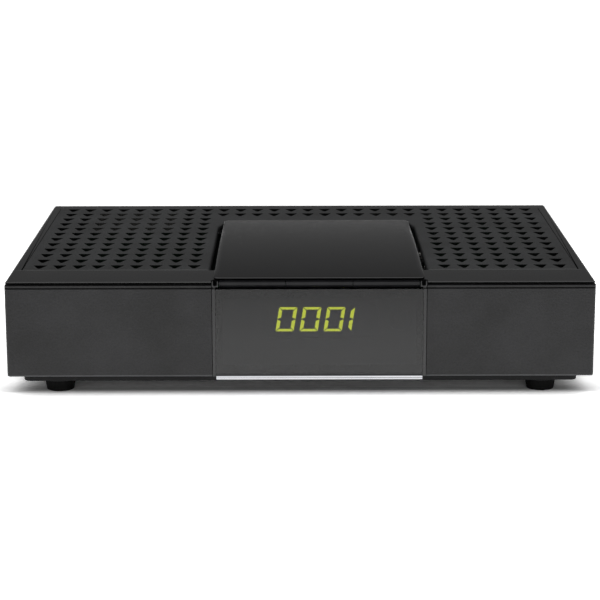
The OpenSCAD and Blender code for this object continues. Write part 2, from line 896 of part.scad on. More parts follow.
module memory_chips() {
    color("#1b1c1e") for (d = memory_ds) {
        block(memory_x, [d - memory_w / 2, d + memory_w / 2], [main_top, main_top + memory_h]);
    }
}

module power_coils() {
    half = (coil_x[1] - coil_x[0]) / 2;
    color("#4a4b4e") for (d = coil_ds) {
        block(coil_x, [d - half, d + half], [main_top, main_top + coil_h]);
    }
}

module capacitors() {
    color("#33373f") for (d = capacitor_ds) {
        post(capacitor_x, d, main_top, main_top + capacitor_h, capacitor_r);
    }
}

module crystal() {
    r = (crystal_d[1] - crystal_d[0]) / 2 - slip;
    color("#c2c5c9") translate([0, 0, main_top]) linear_extrude(crystal_h)
        round_pane(crystal_x, crystal_d, r);
}

// Folded steel can over the tuner, open towards the board
module tuner_can() {
    color("#b4b7bb") difference() {
        block([tuner_x0, tuner_x1], [tuner_d, tuner_back], [main_top, tuner_top]);
        block([tuner_x0 + can_t, tuner_x1 - can_t], [tuner_d + can_t, tuner_back - can_t],
            [main_top - cut, tuner_top - can_t]);
        bar(input_x, aerial_z, tuner_back - insulator_l, tuner_back + cut, input_inner_r);
        bar(output_x, aerial_z, tuner_back - insulator_l, tuner_back + cut, output_inner_r);
    }
}

// Ring around an aerial axis between two radii
module sleeve(x, z, d0, d1, outer, inner) {
    difference() {
        bar(x, z, d0, d1, outer);
        bar(x, z, d0 - cut, d1 + cut, inner);
    }
}

module aerial_input_shell() {
    color("#c4c7cb") sleeve(input_x, aerial_z, tuner_back, aerial_end, input_r, input_inner_r);
}

module aerial_input_insulator() {
    color("#e9e6dc") sleeve(input_x, aerial_z, tuner_back - insulator_l + slip, tuner_back + 2,
        input_inner_r - slip, input_contact_r);
}

// Middle contact: a slim tube that takes the plug's pin
module aerial_input_contact() {
    color("#c9a75a") sleeve(input_x, aerial_z, tuner_back - insulator_l + slip, aerial_end - 1,
        input_contact_r - slip, input_bore_r);
}

// Barrel with a wider collar where it passes through the rear panel
module collared_sleeve(x, z, d0, d1, outer, inner) {
    difference() {
        union() {
            bar(x, z, d0, collar_end, outer + collar_step);
            bar(x, z, d0, d1, outer);
        }
        bar(x, z, d0 - cut, d1 + cut, inner);
    }
}

module aerial_output_shell() {
    color("#c4c7cb") collared_sleeve(output_x, aerial_z, tuner_back, aerial_end, output_r, output_inner_r);
}

module aerial_output_insulator() {
    color("#e9e6dc") sleeve(output_x, aerial_z, tuner_back - insulator_l + slip, tuner_back + 2,
        output_inner_r - slip, output_pin_r + slip);
}

module aerial_output_pin() {
    color("#c9a75a") bar(output_x, aerial_z, tuner_back - insulator_l + slip, aerial_end - 0.5, output_pin_r);
}

// Places of the twenty contacts: two rows of ten, half a pitch apart
euro_places = [for (row = [0, 1], i = [0:9])
    [(i - 4.5 + (row - 0.5) / 2) * euro_pitch, (row - 0.5) * euro_row]];

module euro_cavity() {
    w = euro_cavity_w / 2;
    h = euro_cavity_h / 2;
    polygon([[-w, -h], [w, -h], [w, h], [euro_corner - w, h], [-w, h - euro_corner]]);
}

module euro_av_socket() {
    color("#1a1b1d") translate([euro_x, 0, euro_z]) difference() {
        block([-euro_w / 2, euro_w / 2], [euro_front, euro_back], [-euro_h / 2, euro_h / 2]);
        along_depth(euro_back - euro_cavity_d, euro_back + cut) difference() {
            euro_cavity();
            pane([-euro_island_w / 2, euro_island_w / 2], [-euro_island_h / 2, euro_island_h / 2]);
        }
        along_depth(euro_back - euro_cavity_d, euro_back + cut) for (p = euro_places) {
            pane([p[0] - 0.6, p[0] + 0.6], [p[1] - 1.3, p[1] + 1.3]);
        }
        along_depth(euro_back - 1, euro_back + cut) euro_cavity();
    }
}

module euro_av_contacts() {
    color("#c9a75a") translate([euro_x, 0, euro_z])
        along_depth(euro_back - euro_cavity_d, euro_back - 2) for (p = euro_places) {
            pane([p[0] - 0.25, p[0] + 0.25], [p[1] - 1, p[1] + 1]);
        }
}

module digital_av_shell() {
    color("#c4c7cb") translate([av_x, 0, av_z]) along_depth(av_front, shell_back) difference() {
        av_outline(0);
        av_outline(sheet_t);
    }
}

module digital_av_tongue() {
    color("#1a1b1d") translate([av_x, 0, av_z]) {
        along_depth(av_front, av_front + 3) av_outline(sheet_t + slip);
        block([-5.6, 5.6], [av_front + 2.9, shell_back - 1.2], [-0.2, 1]);
    }
}

module serial_port_shell() {
    w = port_w / 2;
    h = port_h / 2;
    color("#c4c7cb") translate([port_x, 0, port_z]) along_depth(port_front, shell_back) difference() {
        pane([-w, w], [-h, h]);
        pane([sheet_t - w, w - sheet_t], [sheet_t - h, h - sheet_t]);
    }
}

module serial_port_tongue() {
    w = port_w / 2 - sheet_t - slip;
    h = port_h / 2 - sheet_t - slip;
    color("#f0efe9") translate([port_x, 0, port_z]) {
        block([-w, w], [port_front, port_front + 4], [-h, h]);
        block([-5.5, 5.5], [port_front + 3.9, shell_back - 1.5], [0.5, 2.3]);
    }
}

module digital_audio_body() {
    color("#20201f") difference() {
        union() {
            block([audio_x - audio_block_w / 2, audio_x + audio_block_w / 2],
                [audio_block_d, rear_d - 0.1], [main_top, main_top + audio_block_h]);
            bar(audio_x, audio_z, rear_d - 0.2, audio_end - 0.4, audio_r - audio_ring_t - slip);
        }
        bar(audio_x, audio_z, audio_block_d + 3, audio_end + cut, audio_bore_r);
    }
}

module digital_audio_ring() {
    color("#c4c7cb") collared_sleeve(audio_x, audio_z, rear_d - 0.1, audio_end, audio_r,
        audio_r - audio_ring_t);
}

module power_jack_body() {
    color("#1a1b1d") difference() {
        block([power_x - power_w / 2, power_x + power_w / 2], [power_front, power_back],
            [main_top, main_top + power_h]);
        bar(power_x, power_z, power_back - power_bore_l, power_back + cut, power_bore_r);
        bar(power_x, power_z, power_front + 2, power_back, power_pin_r + slip);
    }
}

module power_jack_pin() {
    color("#c4c7cb") bar(power_x, power_z, power_front + 2, power_back - 0.8, power_pin_r);
}

place() top_cover();
place() vent_grille();
place() bridge_cover();
place() front_panel();
place() window_frame();
place() display_window();
place() trim_strip();
place() key(0);  // channel_down_key
place() key(1);  // standby_key
place() key(2);  // channel_up_key
place() plunger(0);  // channel_down_plunger
place() plunger(1);  // standby_plunger
place() plunger(2);  // channel_up_plunger
place() switch(0);  // channel_down_switch
place() switch(1);  // standby_switch
place() switch(2);  // channel_up_switch
place() display_module();
place() lit_segments();
place() dark_segments();
place() infrared_receiver();
place() front_board();
place() front_board_screws();
place() bottom_tray();
place() foot(-1, foot_front);  // foot_front_left
place() foot(1, foot_front);  // foot_front_right
place() foot(-1, foot_rear);  // foot_rear_left
place() foot(1, foot_rear);  // foot_rear_right
place() case_screws();
place() rear_panel();
place() rear_screws();
place() main_board();
place() board_screws();
place() ribbon_cable();
place() ribbon_sockets();
place() processor();
place() heat_sink();
place() memory_chips();
place() power_coils();
place() capacitors();
place() crystal();
place() tuner_can();
place() aerial_input_shell();
place() aerial_input_insulator();
place() aerial_input_contact();
place() aerial_output_shell();
place() aerial_output_insulator();
place() aerial_output_pin();
place() euro_av_socket();
place() euro_av_contacts();
place() digital_av_shell();
place() digital_av_tongue();
place() serial_port_shell();
place() serial_port_tongue();
place() digital_audio_body();
place() digital_audio_ring();
place() power_jack_body();
place() power_jack_pin();
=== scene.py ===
# %% [markdown]
# A small set-top receiver: a black moulded box with a perforated top, a smoked window with a
# glowing channel number, three slim keys and a steel panel of sockets at the rear. The CAD model
# gives every piece its size and place, and this lesson gives each piece its edges and its finish.
# Blender works in metres, so mm turns a maker's millimetres into metres.

# %% Load the frame
import json
import math

import bmesh
import bpy
from mathutils import Matrix, Vector

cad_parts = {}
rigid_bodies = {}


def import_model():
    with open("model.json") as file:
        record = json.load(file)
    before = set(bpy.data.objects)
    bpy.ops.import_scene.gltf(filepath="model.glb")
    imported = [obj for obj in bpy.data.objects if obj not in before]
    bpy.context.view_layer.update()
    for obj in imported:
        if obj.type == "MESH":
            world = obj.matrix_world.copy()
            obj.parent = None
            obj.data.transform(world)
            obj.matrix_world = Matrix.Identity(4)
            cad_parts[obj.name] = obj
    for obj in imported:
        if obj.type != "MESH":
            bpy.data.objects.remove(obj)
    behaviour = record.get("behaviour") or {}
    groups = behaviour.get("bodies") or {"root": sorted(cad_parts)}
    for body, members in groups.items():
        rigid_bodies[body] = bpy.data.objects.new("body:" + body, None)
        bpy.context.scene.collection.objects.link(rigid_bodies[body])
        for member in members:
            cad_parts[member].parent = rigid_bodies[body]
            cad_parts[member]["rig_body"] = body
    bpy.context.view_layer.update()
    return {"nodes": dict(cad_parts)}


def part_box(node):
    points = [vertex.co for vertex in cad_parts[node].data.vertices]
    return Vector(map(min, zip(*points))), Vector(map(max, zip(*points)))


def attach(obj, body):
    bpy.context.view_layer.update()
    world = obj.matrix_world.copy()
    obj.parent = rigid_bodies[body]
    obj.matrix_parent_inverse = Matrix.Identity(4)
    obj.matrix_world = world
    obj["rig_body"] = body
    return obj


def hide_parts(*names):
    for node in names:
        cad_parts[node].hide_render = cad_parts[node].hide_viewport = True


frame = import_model()
mm = 0.001
scene = bpy.context.scene

# %% [markdown]
# The camera looks at the front from a little above and from about 60 cm away. A long lens keeps
# the box's sides almost straight, as in a product photograph. Three turns aim it: down, to the
# right and a slight roll. Each turn is a rotation about one axis, and their product is the
# camera's matrix, which is easier to read than one set of Euler angles.

# %% Camera
camera_place = Vector((-1.0, -600.7, 155.5)) * mm
camera_down = math.radians(13.27)
camera_right = math.radians(0.10)
camera_roll = math.radians(0.10)
camera_data = bpy.data.cameras.new("front_camera")
camera_data.sensor_width = 36
camera_data.lens = 116.85
camera = bpy.data.objects.new("front_camera", camera_data)
aim = Matrix.Rotation(-camera_right, 4, "Z") @ Matrix.Rotation(math.pi / 2 - camera_down, 4, "X")
camera.matrix_world = Matrix.Translation(camera_place) @ aim @ Matrix.Rotation(-camera_roll, 4, "Z")
scene.collection.objects.link(camera)
scene.camera = camera
print("camera stands", round(camera_place.length / mm), "mm from the middle of the box")

# %% [markdown]
# Every finish below is a node tree. A few small helpers keep those trees short: one turns a colour
# from a paint chart, an sRGB hex value, into the linear numbers that a shader adds and multiplies,
# one adds a node, sets it and wires it in a single call, and one uses that to turn one span of
# numbers into another.

# %% Colour and node helpers
def linear(chart_colour):
    """Linear RGBA of an sRGB hex colour such as #2b2c2e."""
    shares = [int(chart_colour[i:i + 2], 16) / 255 for i in (1, 3, 5)]
    return [s / 12.92 if s <= 0.04045 else ((s + 0.055) / 1.055) ** 2.4 for s in shares] + [1.0]


def add(tree, kind, wires=None, **settings):
    """Adds a shader node. Settings are its choices, and wires give its sockets a value or a link."""
    node = tree.nodes.new("ShaderNode" + kind)
    for name, value in settings.items():
        setattr(node, name, value)
    for socket, value in (wires or {}).items():
        if isinstance(value, bpy.types.NodeSocket):
            tree.links.new(value, node.inputs[socket])
        else:
            node.inputs[socket].default_value = value
    return node


def remap(tree, value, start=(0, 1), end=(0, 1), **settings):
    """A socket with a value that is turned from one span into another and stays within it."""
    wires = {"Value": value, "From Min": start[0], "From Max": start[1], "To Min": end[0], "To Max": end[1]}
    return add(tree, "MapRange", wires, **settings).outputs[0]


def new_finish(name, **constants):
    """A material with its node tree and its main shader, whose constant sockets are set here."""
    material = bpy.data.materials.new(name)
    material.use_nodes = True
    shader = material.node_tree.nodes["Principled BSDF"]
    for socket, value in constants.items():
        shader.inputs[socket.replace("_", " ")].default_value = value
    return material, material.node_tree, shader


print("mid grey is", [round(c, 3) for c in linear("#808080")[:3]], "in linear numbers")

# %% [markdown]
# The box stands on white paper under one very wide soft light, which hangs in front and above, as over a
# photographer's table. The light is the world itself: bright round one direction, and falling away smoothly
# to a dim room behind, whose far wall is a little lighter low down. The flat top, which the camera sees at
# a low angle, mirrors that dim room and stays dark. The paper is a plain matt floor. Its colour is lifted
# for the rays that show it as a background, straight on, in a reflection or through a clear window, and
# that lift paints light and shade on it: a painted pool of light round the box, and a painted shadow under
# the box, lifted deep inside and lowered in a strip under its front edge, so that the shadow there is even
# and has a clear rim. For the light that it sends back to the box the paper stays an ordinary white.

# %% Paper floor
floor_reach = 12.0
floor_mesh = bpy.data.meshes.new("paper_floor")
floor_shape = bmesh.new()
bmesh.ops.create_grid(floor_shape, x_segments=1, y_segments=1, size=floor_reach)
floor_shape.to_mesh(floor_mesh)
floor_shape.free()
floor = bpy.data.objects.new("paper_floor", floor_mesh)
scene.collection.objects.link(floor)

# The lifts paint light and shade on the paper: a painted pool of light round the box, and a painted shadow
# under it
paper_white = 0.8
deep_lift = 1.7
shade_lift = 0.5
painted_pool_lift = 1.9
edge_lift = 1.12
painted_pool_reach = (90 * mm, 260 * mm)
shade_depth = (45 * mm, 53 * mm)
shade_ends = (77 * mm, 92 * mm)
shade_fronts = (55 * mm, 58.3 * mm)
paper = bpy.data.materials.new("matt_white_paper")
paper.use_nodes = True
paper_tree = paper.node_tree
paper_tree.nodes.clear()
ray = add(paper_tree, "LightPath")
seen = add(paper_tree, "Math", {0: ray.outputs["Is Camera Ray"],
           1: ray.outputs["Is Transmission Ray"]}, operation="MAXIMUM")
shown = add(paper_tree, "Math", {0: seen.outputs[0], 1: ray.outputs["Is Glossy Ray"]}, operation="MAXIMUM")
spot_on_paper = add(paper_tree, "TexCoord").outputs["Object"]
from_box = add(paper_tree, "VectorMath", {0: spot_on_paper}, operation="LENGTH").outputs["Value"]
painted_pool = remap(paper_tree, from_box, painted_pool_reach, (painted_pool_lift, edge_lift),
             interpolation_type="SMOOTHSTEP")
paper_axes = add(paper_tree, "VectorMath", {0: spot_on_paper}, operation="ABSOLUTE")
paper_sides = add(paper_tree, "SeparateXYZ", {0: paper_axes.outputs[0]})
past_end = remap(paper_tree, paper_sides.outputs["X"], shade_ends)
past_front = remap(paper_tree, paper_sides.outputs["Y"], shade_fronts)
in_open = add(paper_tree, "Math", {0: past_end, 1: past_front}, operation="MAXIMUM")
in_shade = remap(paper_tree, paper_sides.outputs["Y"], shade_depth, (deep_lift, shade_lift))
lifted = remap(paper_tree, in_open.outputs[0], end=(in_shade, painted_pool))
white = remap(paper_tree, shown.outputs[0], end=(paper_white, lifted))
matt = add(paper_tree, "BsdfDiffuse", {"Color": white})
add(paper_tree, "OutputMaterial", {"Surface": matt.outputs[0]})
floor_mesh.materials.append(paper)
print("floor reaches", floor_reach, "m, and its pool of light", painted_pool_reach[1], "m")

# %% Soft light
light_height = math.radians(55)
light_heart = math.radians(15)
light_rim = math.radians(105)
light_level = 1.45
wall_level = 0.17
room_level = 0.08
wall_top = 0.34
studio = bpy.data.worlds.new("soft_studio")
scene.world = studio
studio.use_nodes = True
studio_tree = studio.node_tree
studio_tree.nodes.clear()
heading = add(studio_tree, "TexCoord").outputs["Generated"]
toward_light = (0, -math.cos(light_height), math.sin(light_height))
nearness = add(studio_tree, "VectorMath", {0: heading, 1: toward_light}, operation="DOT_PRODUCT")
heights = add(studio_tree, "SeparateXYZ", {0: heading})
room = remap(studio_tree, heights.outputs["Z"], (0, wall_top), (wall_level, room_level))
level = remap(studio_tree, nearness.outputs["Value"], (math.cos(light_rim), math.cos(light_heart)),
              (room, light_level), interpolation_type="SMOOTHSTEP")
light = add(studio_tree, "Background", {"Color": level, "Strength": 1.0})
add(studio_tree, "OutputWorld", {"Surface": light.outputs[0]})
scene.view_settings.view_transform = "Standard"
print("the light hangs", round(math.degrees(light_height)), "degrees up, level", light_level)

# %% [markdown]
# Most of the case is ABS, pressed into a steel mould. The mould's own surface gives the finish: a
# spark-eroded one leaves a fine grain, a blasted one a satin, a polished one a gloss. So one
# function makes them all, from the width of the grain and the height of its relief. The grain also
# shifts the colour and the roughness a little, because its hollows hold shade. The real grain is
# about 0.1 mm wide, too fine to show here, so it is drawn a few times as wide.

# %% Moulded plastics
cloud_width = 14 * mm
noise_span = (0.3, 0.7)
blotch_span = (0.7, 1.3)
sheen_swing = 0.06


def wire_up(tree, shader, colour, shade, sheen, height, relief):
    """Gives the main shader a shaded colour, a roughness and a low bump."""
    tint = add(tree, "VectorMath", {0: linear(colour)[:3], "Scale": shade}, operation="SCALE")
    bump = add(tree, "Bump", {"Height": height, "Distance": relief})
    tree.links.new(tint.outputs[0], shader.inputs["Base Color"])
    tree.links.new(sheen, shader.inputs["Roughness"])
    tree.links.new(bump.outputs[0], shader.inputs["Normal"])


def moulded_plastic(name, colour, roughness, grain, relief, mottle_and_shade=0.2, **constants):
    """Plastic as it leaves a steel mould. Grain is a width and relief a height, both in metres."""
    material, tree, shader = new_finish(name, **constants)
    spot = add(tree, "TexCoord").outputs["Object"]
    fine = add(tree, "TexNoise", {"Vector": spot, "Scale": 1 / grain, "Detail": 3.0})
    broad = add(tree, "TexNoise", {"Vector": spot, "Scale": 1 / cloud_width, "Detail": 2.0})
    blotch = add(tree, "Math", {0: fine.outputs["Fac"], 1: broad.outputs["Fac"]})
    # The grain's hollows are painted shade, and the broad clouds are the plastic's own uneven tone
    shade = remap(tree, blotch.outputs[0], blotch_span, (1 - mottle_and_shade, 1 + mottle_and_shade))
    sheen = remap(tree, fine.outputs["Fac"], noise_span, (roughness - sheen_swing, roughness + sheen_swing))
    wire_up(tree, shader, colour, shade, sheen, fine.outputs["Fac"], relief)
    return material


finishes = {
    # Spark-eroded ABS: a dry, even grain that breaks up reflections
    "grained_plastic": moulded_plastic("grained_abs", "#131314", 0.5, 0.55 * mm, 0.22 * mm, 1.0,
                                       Specular_IOR_Level=0.34),
    # Blasted ABS: a closed satin that still shows broad reflections
    "satin_plastic": moulded_plastic("satin_abs", "#0b0b0c", 0.16, 0.3 * mm, 0.004 * mm),
    # Plain ABS of the underside, a little rougher and darker
    "tray_plastic": moulded_plastic("plain_abs", "#0d0d0e", 0.6, 0.4 * mm, 0.02 * mm,
                                    Specular_IOR_Level=0.2),
    # Polished ABS: near a mirror, with only slow waves in it
    "gloss_plastic": moulded_plastic("polished_abs", "#212123", 0.2, 4 * mm, 0.01 * mm,
                                     Specular_IOR_Level=0.2),
    # Half-gloss ABS of the window's frame
    "frame_plastic": moulded_plastic("half_gloss_abs", "#161617", 0.3, 0.4 * mm, 0.01 * mm),
    # Black glass-filled polyester of sockets and switches
    "socket_plastic": moulded_plastic("glass_filled_polyester", "#17171a", 0.45, 0.35 * mm, 0.015 * mm),
    # Cream nylon of insulators and plungers
    "insulator_plastic": moulded_plastic("cream_nylon", "#dedacb", 0.45, 0.5 * mm, 0.01 * mm, 0.04),
    # Epoxy of chips and moulded coils, with a faint sandy grain
    "chip_epoxy": moulded_plastic("moulded_epoxy", "#1b1c1e", 0.55, 0.3 * mm, 0.02 * mm),
    # Rubber of the feet: dull, with a little bloom
    "rubber": moulded_plastic("moulded_rubber", "#060606", 0.8, 0.6 * mm, 0.03 * mm,
                              Specular_IOR_Level=0.12),
    # Powder coat on the steel rear panel: a fine orange peel
    "painted_steel": moulded_plastic("powder_coat", "#1b1c1e", 0.42, 0.7 * mm, 0.06 * mm),
}
# Dark, dull ABS laid in hollows, grooves and pockets as painted shade
painted_shade_abs = moulded_plastic("abs_for_painted_shade", "#070708", 0.85, 0.4 * mm, 0.02 * mm,
                              Specular_IOR_Level=0.1)
# Grained ABS with a smoother finish and a paler colour, which is a painted highlight along a lower edge
painted_edge_highlight = moulded_plastic("abs_with_painted_highlight", "#303133", 0.35, 0.5 * mm, 0.02 * mm, 0.3)
# The same grain on the top, painted a little lighter than on the front for the light on the top; there it
# also lies closer and shines a little more
painted_lighter_top_grain = moulded_plastic("close_grained_abs_painted_lighter", "#171819", 0.44, 0.55 * mm, 0.16 * mm, 0.7,
                            Specular_IOR_Level=0.5)
print("plastics:", len(finishes))

# %% [markdown]
# Metals show how they were worked. A drawn or brushed strip has fine lines along its length, a
# plated shell has soft clouds where the bath was uneven, and both break a reflection slightly. One
# function serves them all: a noise that can be stretched along one axis, used for the colour, the
# roughness and a very low bump. A metal keeps the shader's default IOR.

# %% Worked metals
def worked_metal(name, colour, roughness, streak, relief, stretch=(1, 1, 1)):
    """Bare or plated metal. Streak is the width of its marks in metres, stretch draws them out."""
    material, tree, shader = new_finish(name, Metallic=1.0)
    spot = add(tree, "TexCoord").outputs["Object"]
    lay = add(tree, "Mapping", {"Vector": spot, "Scale": stretch})
    marks = add(tree, "TexNoise", {"Vector": lay.outputs[0], "Scale": 1 / streak, "Detail": 4.0})
    shade = remap(tree, marks.outputs["Fac"], noise_span, (0.9, 1.05))
    sheen = remap(tree, marks.outputs["Fac"], noise_span, (roughness * 0.7, roughness * 1.3))
    wire_up(tree, shader, colour, shade, sheen, marks.outputs["Fac"], relief)
    return material


drawn_along_width = (0.02, 1, 1)
drawn_along_depth = (1, 0.03, 1)
finishes.update({
    # Polished aluminium strip, with the faint draw lines of its rolling
    "trim_metal": worked_metal("polished_aluminium", "#b4b5b8", 0.16, 0.25 * mm, 0.002 * mm,
                               drawn_along_width),
    # Nickel plate over pressed steel: warm, smooth and slightly cloudy
    "plated_steel": worked_metal("nickel_plate", "#c9c7c1", 0.24, 2.5 * mm, 0.001 * mm),
    # Zinc plate of the screws: cooler and duller
    "screw_steel": worked_metal("zinc_plate", "#b3b7bc", 0.36, 0.8 * mm, 0.01 * mm),
    # Gilt brass of the contacts
    "contact_brass": worked_metal("gilt_brass", "#cfa957", 0.22, 0.6 * mm, 0.003 * mm),
    # Extruded aluminium of the heat sink and the capacitors' cans
    "heat_sink_aluminium": worked_metal("extruded_aluminium", "#a9adb2", 0.38, 0.3 * mm, 0.006 * mm,
                                        drawn_along_depth),
})
print("finishes so far:", len(finishes))

# %% [markdown]
# The window is acrylic, dyed through with smoke and polished, so it is glossy outside and dark
# inside. Glass is made in Blender by letting light through the surface, and the dye is the colour
# that the light takes on the way. A little haze in the roughness is the dust and wipe marks that
# every window has.

# %% Smoked window
haze_width = 6 * mm
haze_span = (0.015, 0.05)
window_finish, window_tree, window_shader = new_finish("smoked_acrylic", Transmission_Weight=1.0, IOR=1.46)
window_shader.inputs["Base Color"].default_value = linear("#303032")
window_spot = add(window_tree, "TexCoord").outputs["Object"]
haze = add(window_tree, "TexNoise", {"Vector": window_spot, "Scale": 1 / haze_width, "Detail": 3.0})
wiped = remap(window_tree, haze.outputs["Fac"], noise_span, haze_span)
window_tree.links.new(wiped, window_shader.inputs["Roughness"])
finishes["smoked_window"] = window_finish
print("window lets light through with a roughness of", haze_span)

# %% [markdown]
# Each digit is seven pale light guides over small lamps. A lit guide glows almost evenly, between two close
# colours, and an unlit one is a dull grey with a very faint painted glow. The glow is the shader's own
# emission, so it shines through the window and also onto the window's inner face.

# %% Display segments
glow_cloud = 1.5 * mm


def light_guide(name, colour, deeper_colour, body_colour, strength):
    """A moulded light guide, whose glow wanders between two close colours."""
    material, tree, shader = new_finish(name, Emission_Strength=strength, Roughness=0.4)
    shader.inputs["Base Color"].default_value = linear(body_colour)
    spot = add(tree, "TexCoord").outputs["Object"]
    cloud = add(tree, "TexNoise", {"Vector": spot, "Scale": 1 / glow_cloud, "Detail": 1.0})
    glow = add(tree, "Mix", {0: cloud.outputs["Fac"], 6: linear(colour),
               7: linear(deeper_colour)}, data_type="RGBA")
    tree.links.new(glow.outputs[2], shader.inputs["Emission Color"])
    return material


finishes["lit_segment"] = light_guide("lit_light_guide", "#d2de2c", "#c2ce22", "#8f9640", 24.0)
# The unlit guides have no lamp, so their faint glow is painted light
finishes["dark_segment"] = light_guide("unlit_light_guide", "#1d1e1a", "#191a17", "#1a1b18", 0.02)
print("lit and unlit segments share one recipe")

# %% [markdown]
# A circuit board is glass cloth in epoxy under a green varnish, with copper tracks that show
# through as lighter lines. The tracks could be modelled, but there are thousands of them and they
# stand only 0.03 mm proud, so they are drawn: stripes along one axis or the other, and a cell
# pattern that decides, patch by patch, which way they run.

# %% Board and ribbon
def stripes(tree, run, pitch, share):
    """A socket that is 1 on stripes across a run, which fill this share of each pitch, and else 0."""
    count = add(tree, "Math", {0: run, 1: pitch}, operation="DIVIDE")
    rest = add(tree, "Math", {0: count.outputs[0]}, operation="FRACT")
    return add(tree, "Math", {0: rest.outputs[0], 1: share}, operation="LESS_THAN").outputs[0]


track_pitch = 1.27 * mm
track_share = 0.4
track_height = 0.03 * mm
patch_width = 11 * mm
board_finish, board_tree, board_shader = new_finish("varnished_laminate", Roughness=0.34)
board_spot = add(board_tree, "TexCoord").outputs["Object"]
board_axes = add(board_tree, "SeparateXYZ", {0: board_spot})
rise = add(board_tree, "Math", {0: board_axes.outputs["Y"], 1: board_axes.outputs["Z"]})
patch = add(board_tree, "TexVoronoi", {"Vector": board_spot, "Scale": 1 / patch_width})
turn = add(board_tree, "Math", {0: patch.outputs["Color"], 1: 0.5}, operation="GREATER_THAN")
run = add(board_tree, "Mix", {0: turn.outputs[0], 2: board_axes.outputs["X"], 3: rise.outputs[0]})
track = stripes(board_tree, run.outputs[0], track_pitch, track_share)
varnish = add(board_tree, "Mix", {0: track, 6: linear("#174a2a"), 7: linear("#2b6f3c")},
              data_type="RGBA")
ridge = add(board_tree, "Bump", {"Height": track, "Distance": track_height})
board_tree.links.new(varnish.outputs[2], board_shader.inputs["Base Color"])
board_tree.links.new(ridge.outputs[0], board_shader.inputs["Normal"])
finishes["board_laminate"] = board_finish

wire_pitch = 1.0 * mm
wire_share = 0.6
ribbon_finish, ribbon_tree, ribbon_shader = new_finish("polyester_ribbon", Roughness=0.4)
ribbon_spot = add(ribbon_tree, "TexCoord").outputs["Object"]
ribbon_axes = add(ribbon_tree, "SeparateXYZ", {0: ribbon_spot})
wire = stripes(ribbon_tree, ribbon_axes.outputs["X"], wire_pitch, wire_share)
film = add(ribbon_tree, "Mix", {0: wire, 6: linear("#e2e4e6"), 7: linear("#aeb3b8")},
           data_type="RGBA")
ribbon_tree.links.new(film.outputs[2], ribbon_shader.inputs["Base Color"])
finishes["ribbon_film"] = ribbon_finish
print("all finishes:", sorted(finishes))

# %% [markdown]
# A CAD solid has knife-sharp edges, and no moulded or pressed piece does. The cure is the same for
# most pieces: copy the solid's mesh, merge its loose triangles, join the triangles of each flat
# face, and bevel every edge that is still sharp. The copy then stands for the CAD node. Weighted
# normals keep the flat faces flat in the light, so only the eased edges catch it. A helper that
# cuts a whole mesh along a plane serves wherever a formula needs more vertices.

# %% Helpers that ease a CAD solid
sharp_angle = math.radians(30)
crease_angle = math.radians(50)
flat_angle = math.radians(0.1)
weld_reach = 0.002 * mm
near = 0.1 * mm


def merged_copy(node):
    """The node's mesh with its triangles joined into whole faces."""
    shape = bmesh.new()
    shape.from_mesh(frame["nodes"][node].data)
    bmesh.ops.remove_doubles(shape, verts=shape.verts, dist=weld_reach)
    bmesh.ops.dissolve_limit(shape, angle_limit=flat_angle, verts=shape.verts, edges=shape.edges)
    return shape


def cut_across(shape, place, normal):
    """Cuts a whole mesh along the plane through a place."""
    everything = shape.verts[:] + shape.edges[:] + shape.faces[:]
    bmesh.ops.bisect_plane(shape, geom=everything, plane_co=place, plane_no=normal)


def bevel(shape, edges, radius, segments):
    """Rounds the given edges."""
    bmesh.ops.bevel(shape, geom=edges, offset=radius, offset_type="OFFSET", segments=segments,
                    profile=0.5, affect="EDGES", clamp_overlap=False, material=-1)


def ease(shape, radius, segments=2, where=None):
    """Rounds the sharp edges that the where test picks, or all of them."""
    sharp = [edge for edge in shape.edges if edge.is_manifold and edge.calc_face_angle() > sharp_angle]
    if where:
        sharp = [edge for edge in sharp if where((edge.verts[0].co + edge.verts[1].co) / 2)]
    bevel(shape, sharp, radius, segments)
    return len(sharp)


def paint(shape, test):
    """Gives the second finish to the faces whose middle and normal pass a test."""
    painted = [face for face in shape.faces if test(face.calc_center_median(), face.normal)]
    for face in painted:
        face.material_index = 1
    return painted


def keep(shape, name, *nodes, extra=()):
    """Makes a finished mesh a piece that stands for CAD nodes and has the first one's finish."""
    slot = frame["nodes"][nodes[0]].data.materials[0].name
    mesh = bpy.data.meshes.new(name)
    for face in shape.faces:
        face.smooth = True
    for edge in shape.edges:
        edge.smooth = not edge.is_manifold or edge.calc_face_angle() < crease_angle
    shape.to_mesh(mesh)
    shape.free()
    if "custom_normal" in mesh.attributes:
        mesh.attributes.remove(mesh.attributes["custom_normal"])
    for material in (finishes[slot], *extra):
        mesh.materials.append(material)
    piece = bpy.data.objects.new(name, mesh)
    scene.collection.objects.link(piece)
    piece.modifiers.new("even_shading", "WEIGHTED_NORMAL").keep_sharp = True
    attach(piece, frame["nodes"][nodes[0]]["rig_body"])
    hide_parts(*nodes)
    return piece


def ease_nodes(table):
    """Makes a piece of each node in a table, with all its edges eased by a radius in mm."""
    for node, (radius, segments) in table.items():
        solid = merged_copy(node)
        count = ease(solid, radius * mm, segments)
        keep(solid, node + "_piece", node)
        print(node, "eased edges:", count)


print("edges over", round(math.degrees(sharp_angle)), "degrees count as sharp")

# %% [markdown]
# The front panel is one grained moulding with crisp edges. A fine shadow line runs along each wing
# just below the top edge. Two cuts across the mesh mark the line out, and an inset with a negative
# depth sinks the faces between them. The trim strip has such a line too, so a helper does both.
# Along the lower edge the face leans back a little, and the band there takes a smoother, paler finish that
# is a painted highlight.

# %% Front panel
# A face whose normal has a smaller y than this looks to the front
forward = -0.3
front_zone = 1.0 * mm
line_lip = 0.01 * mm
face_low, face_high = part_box("front_panel")


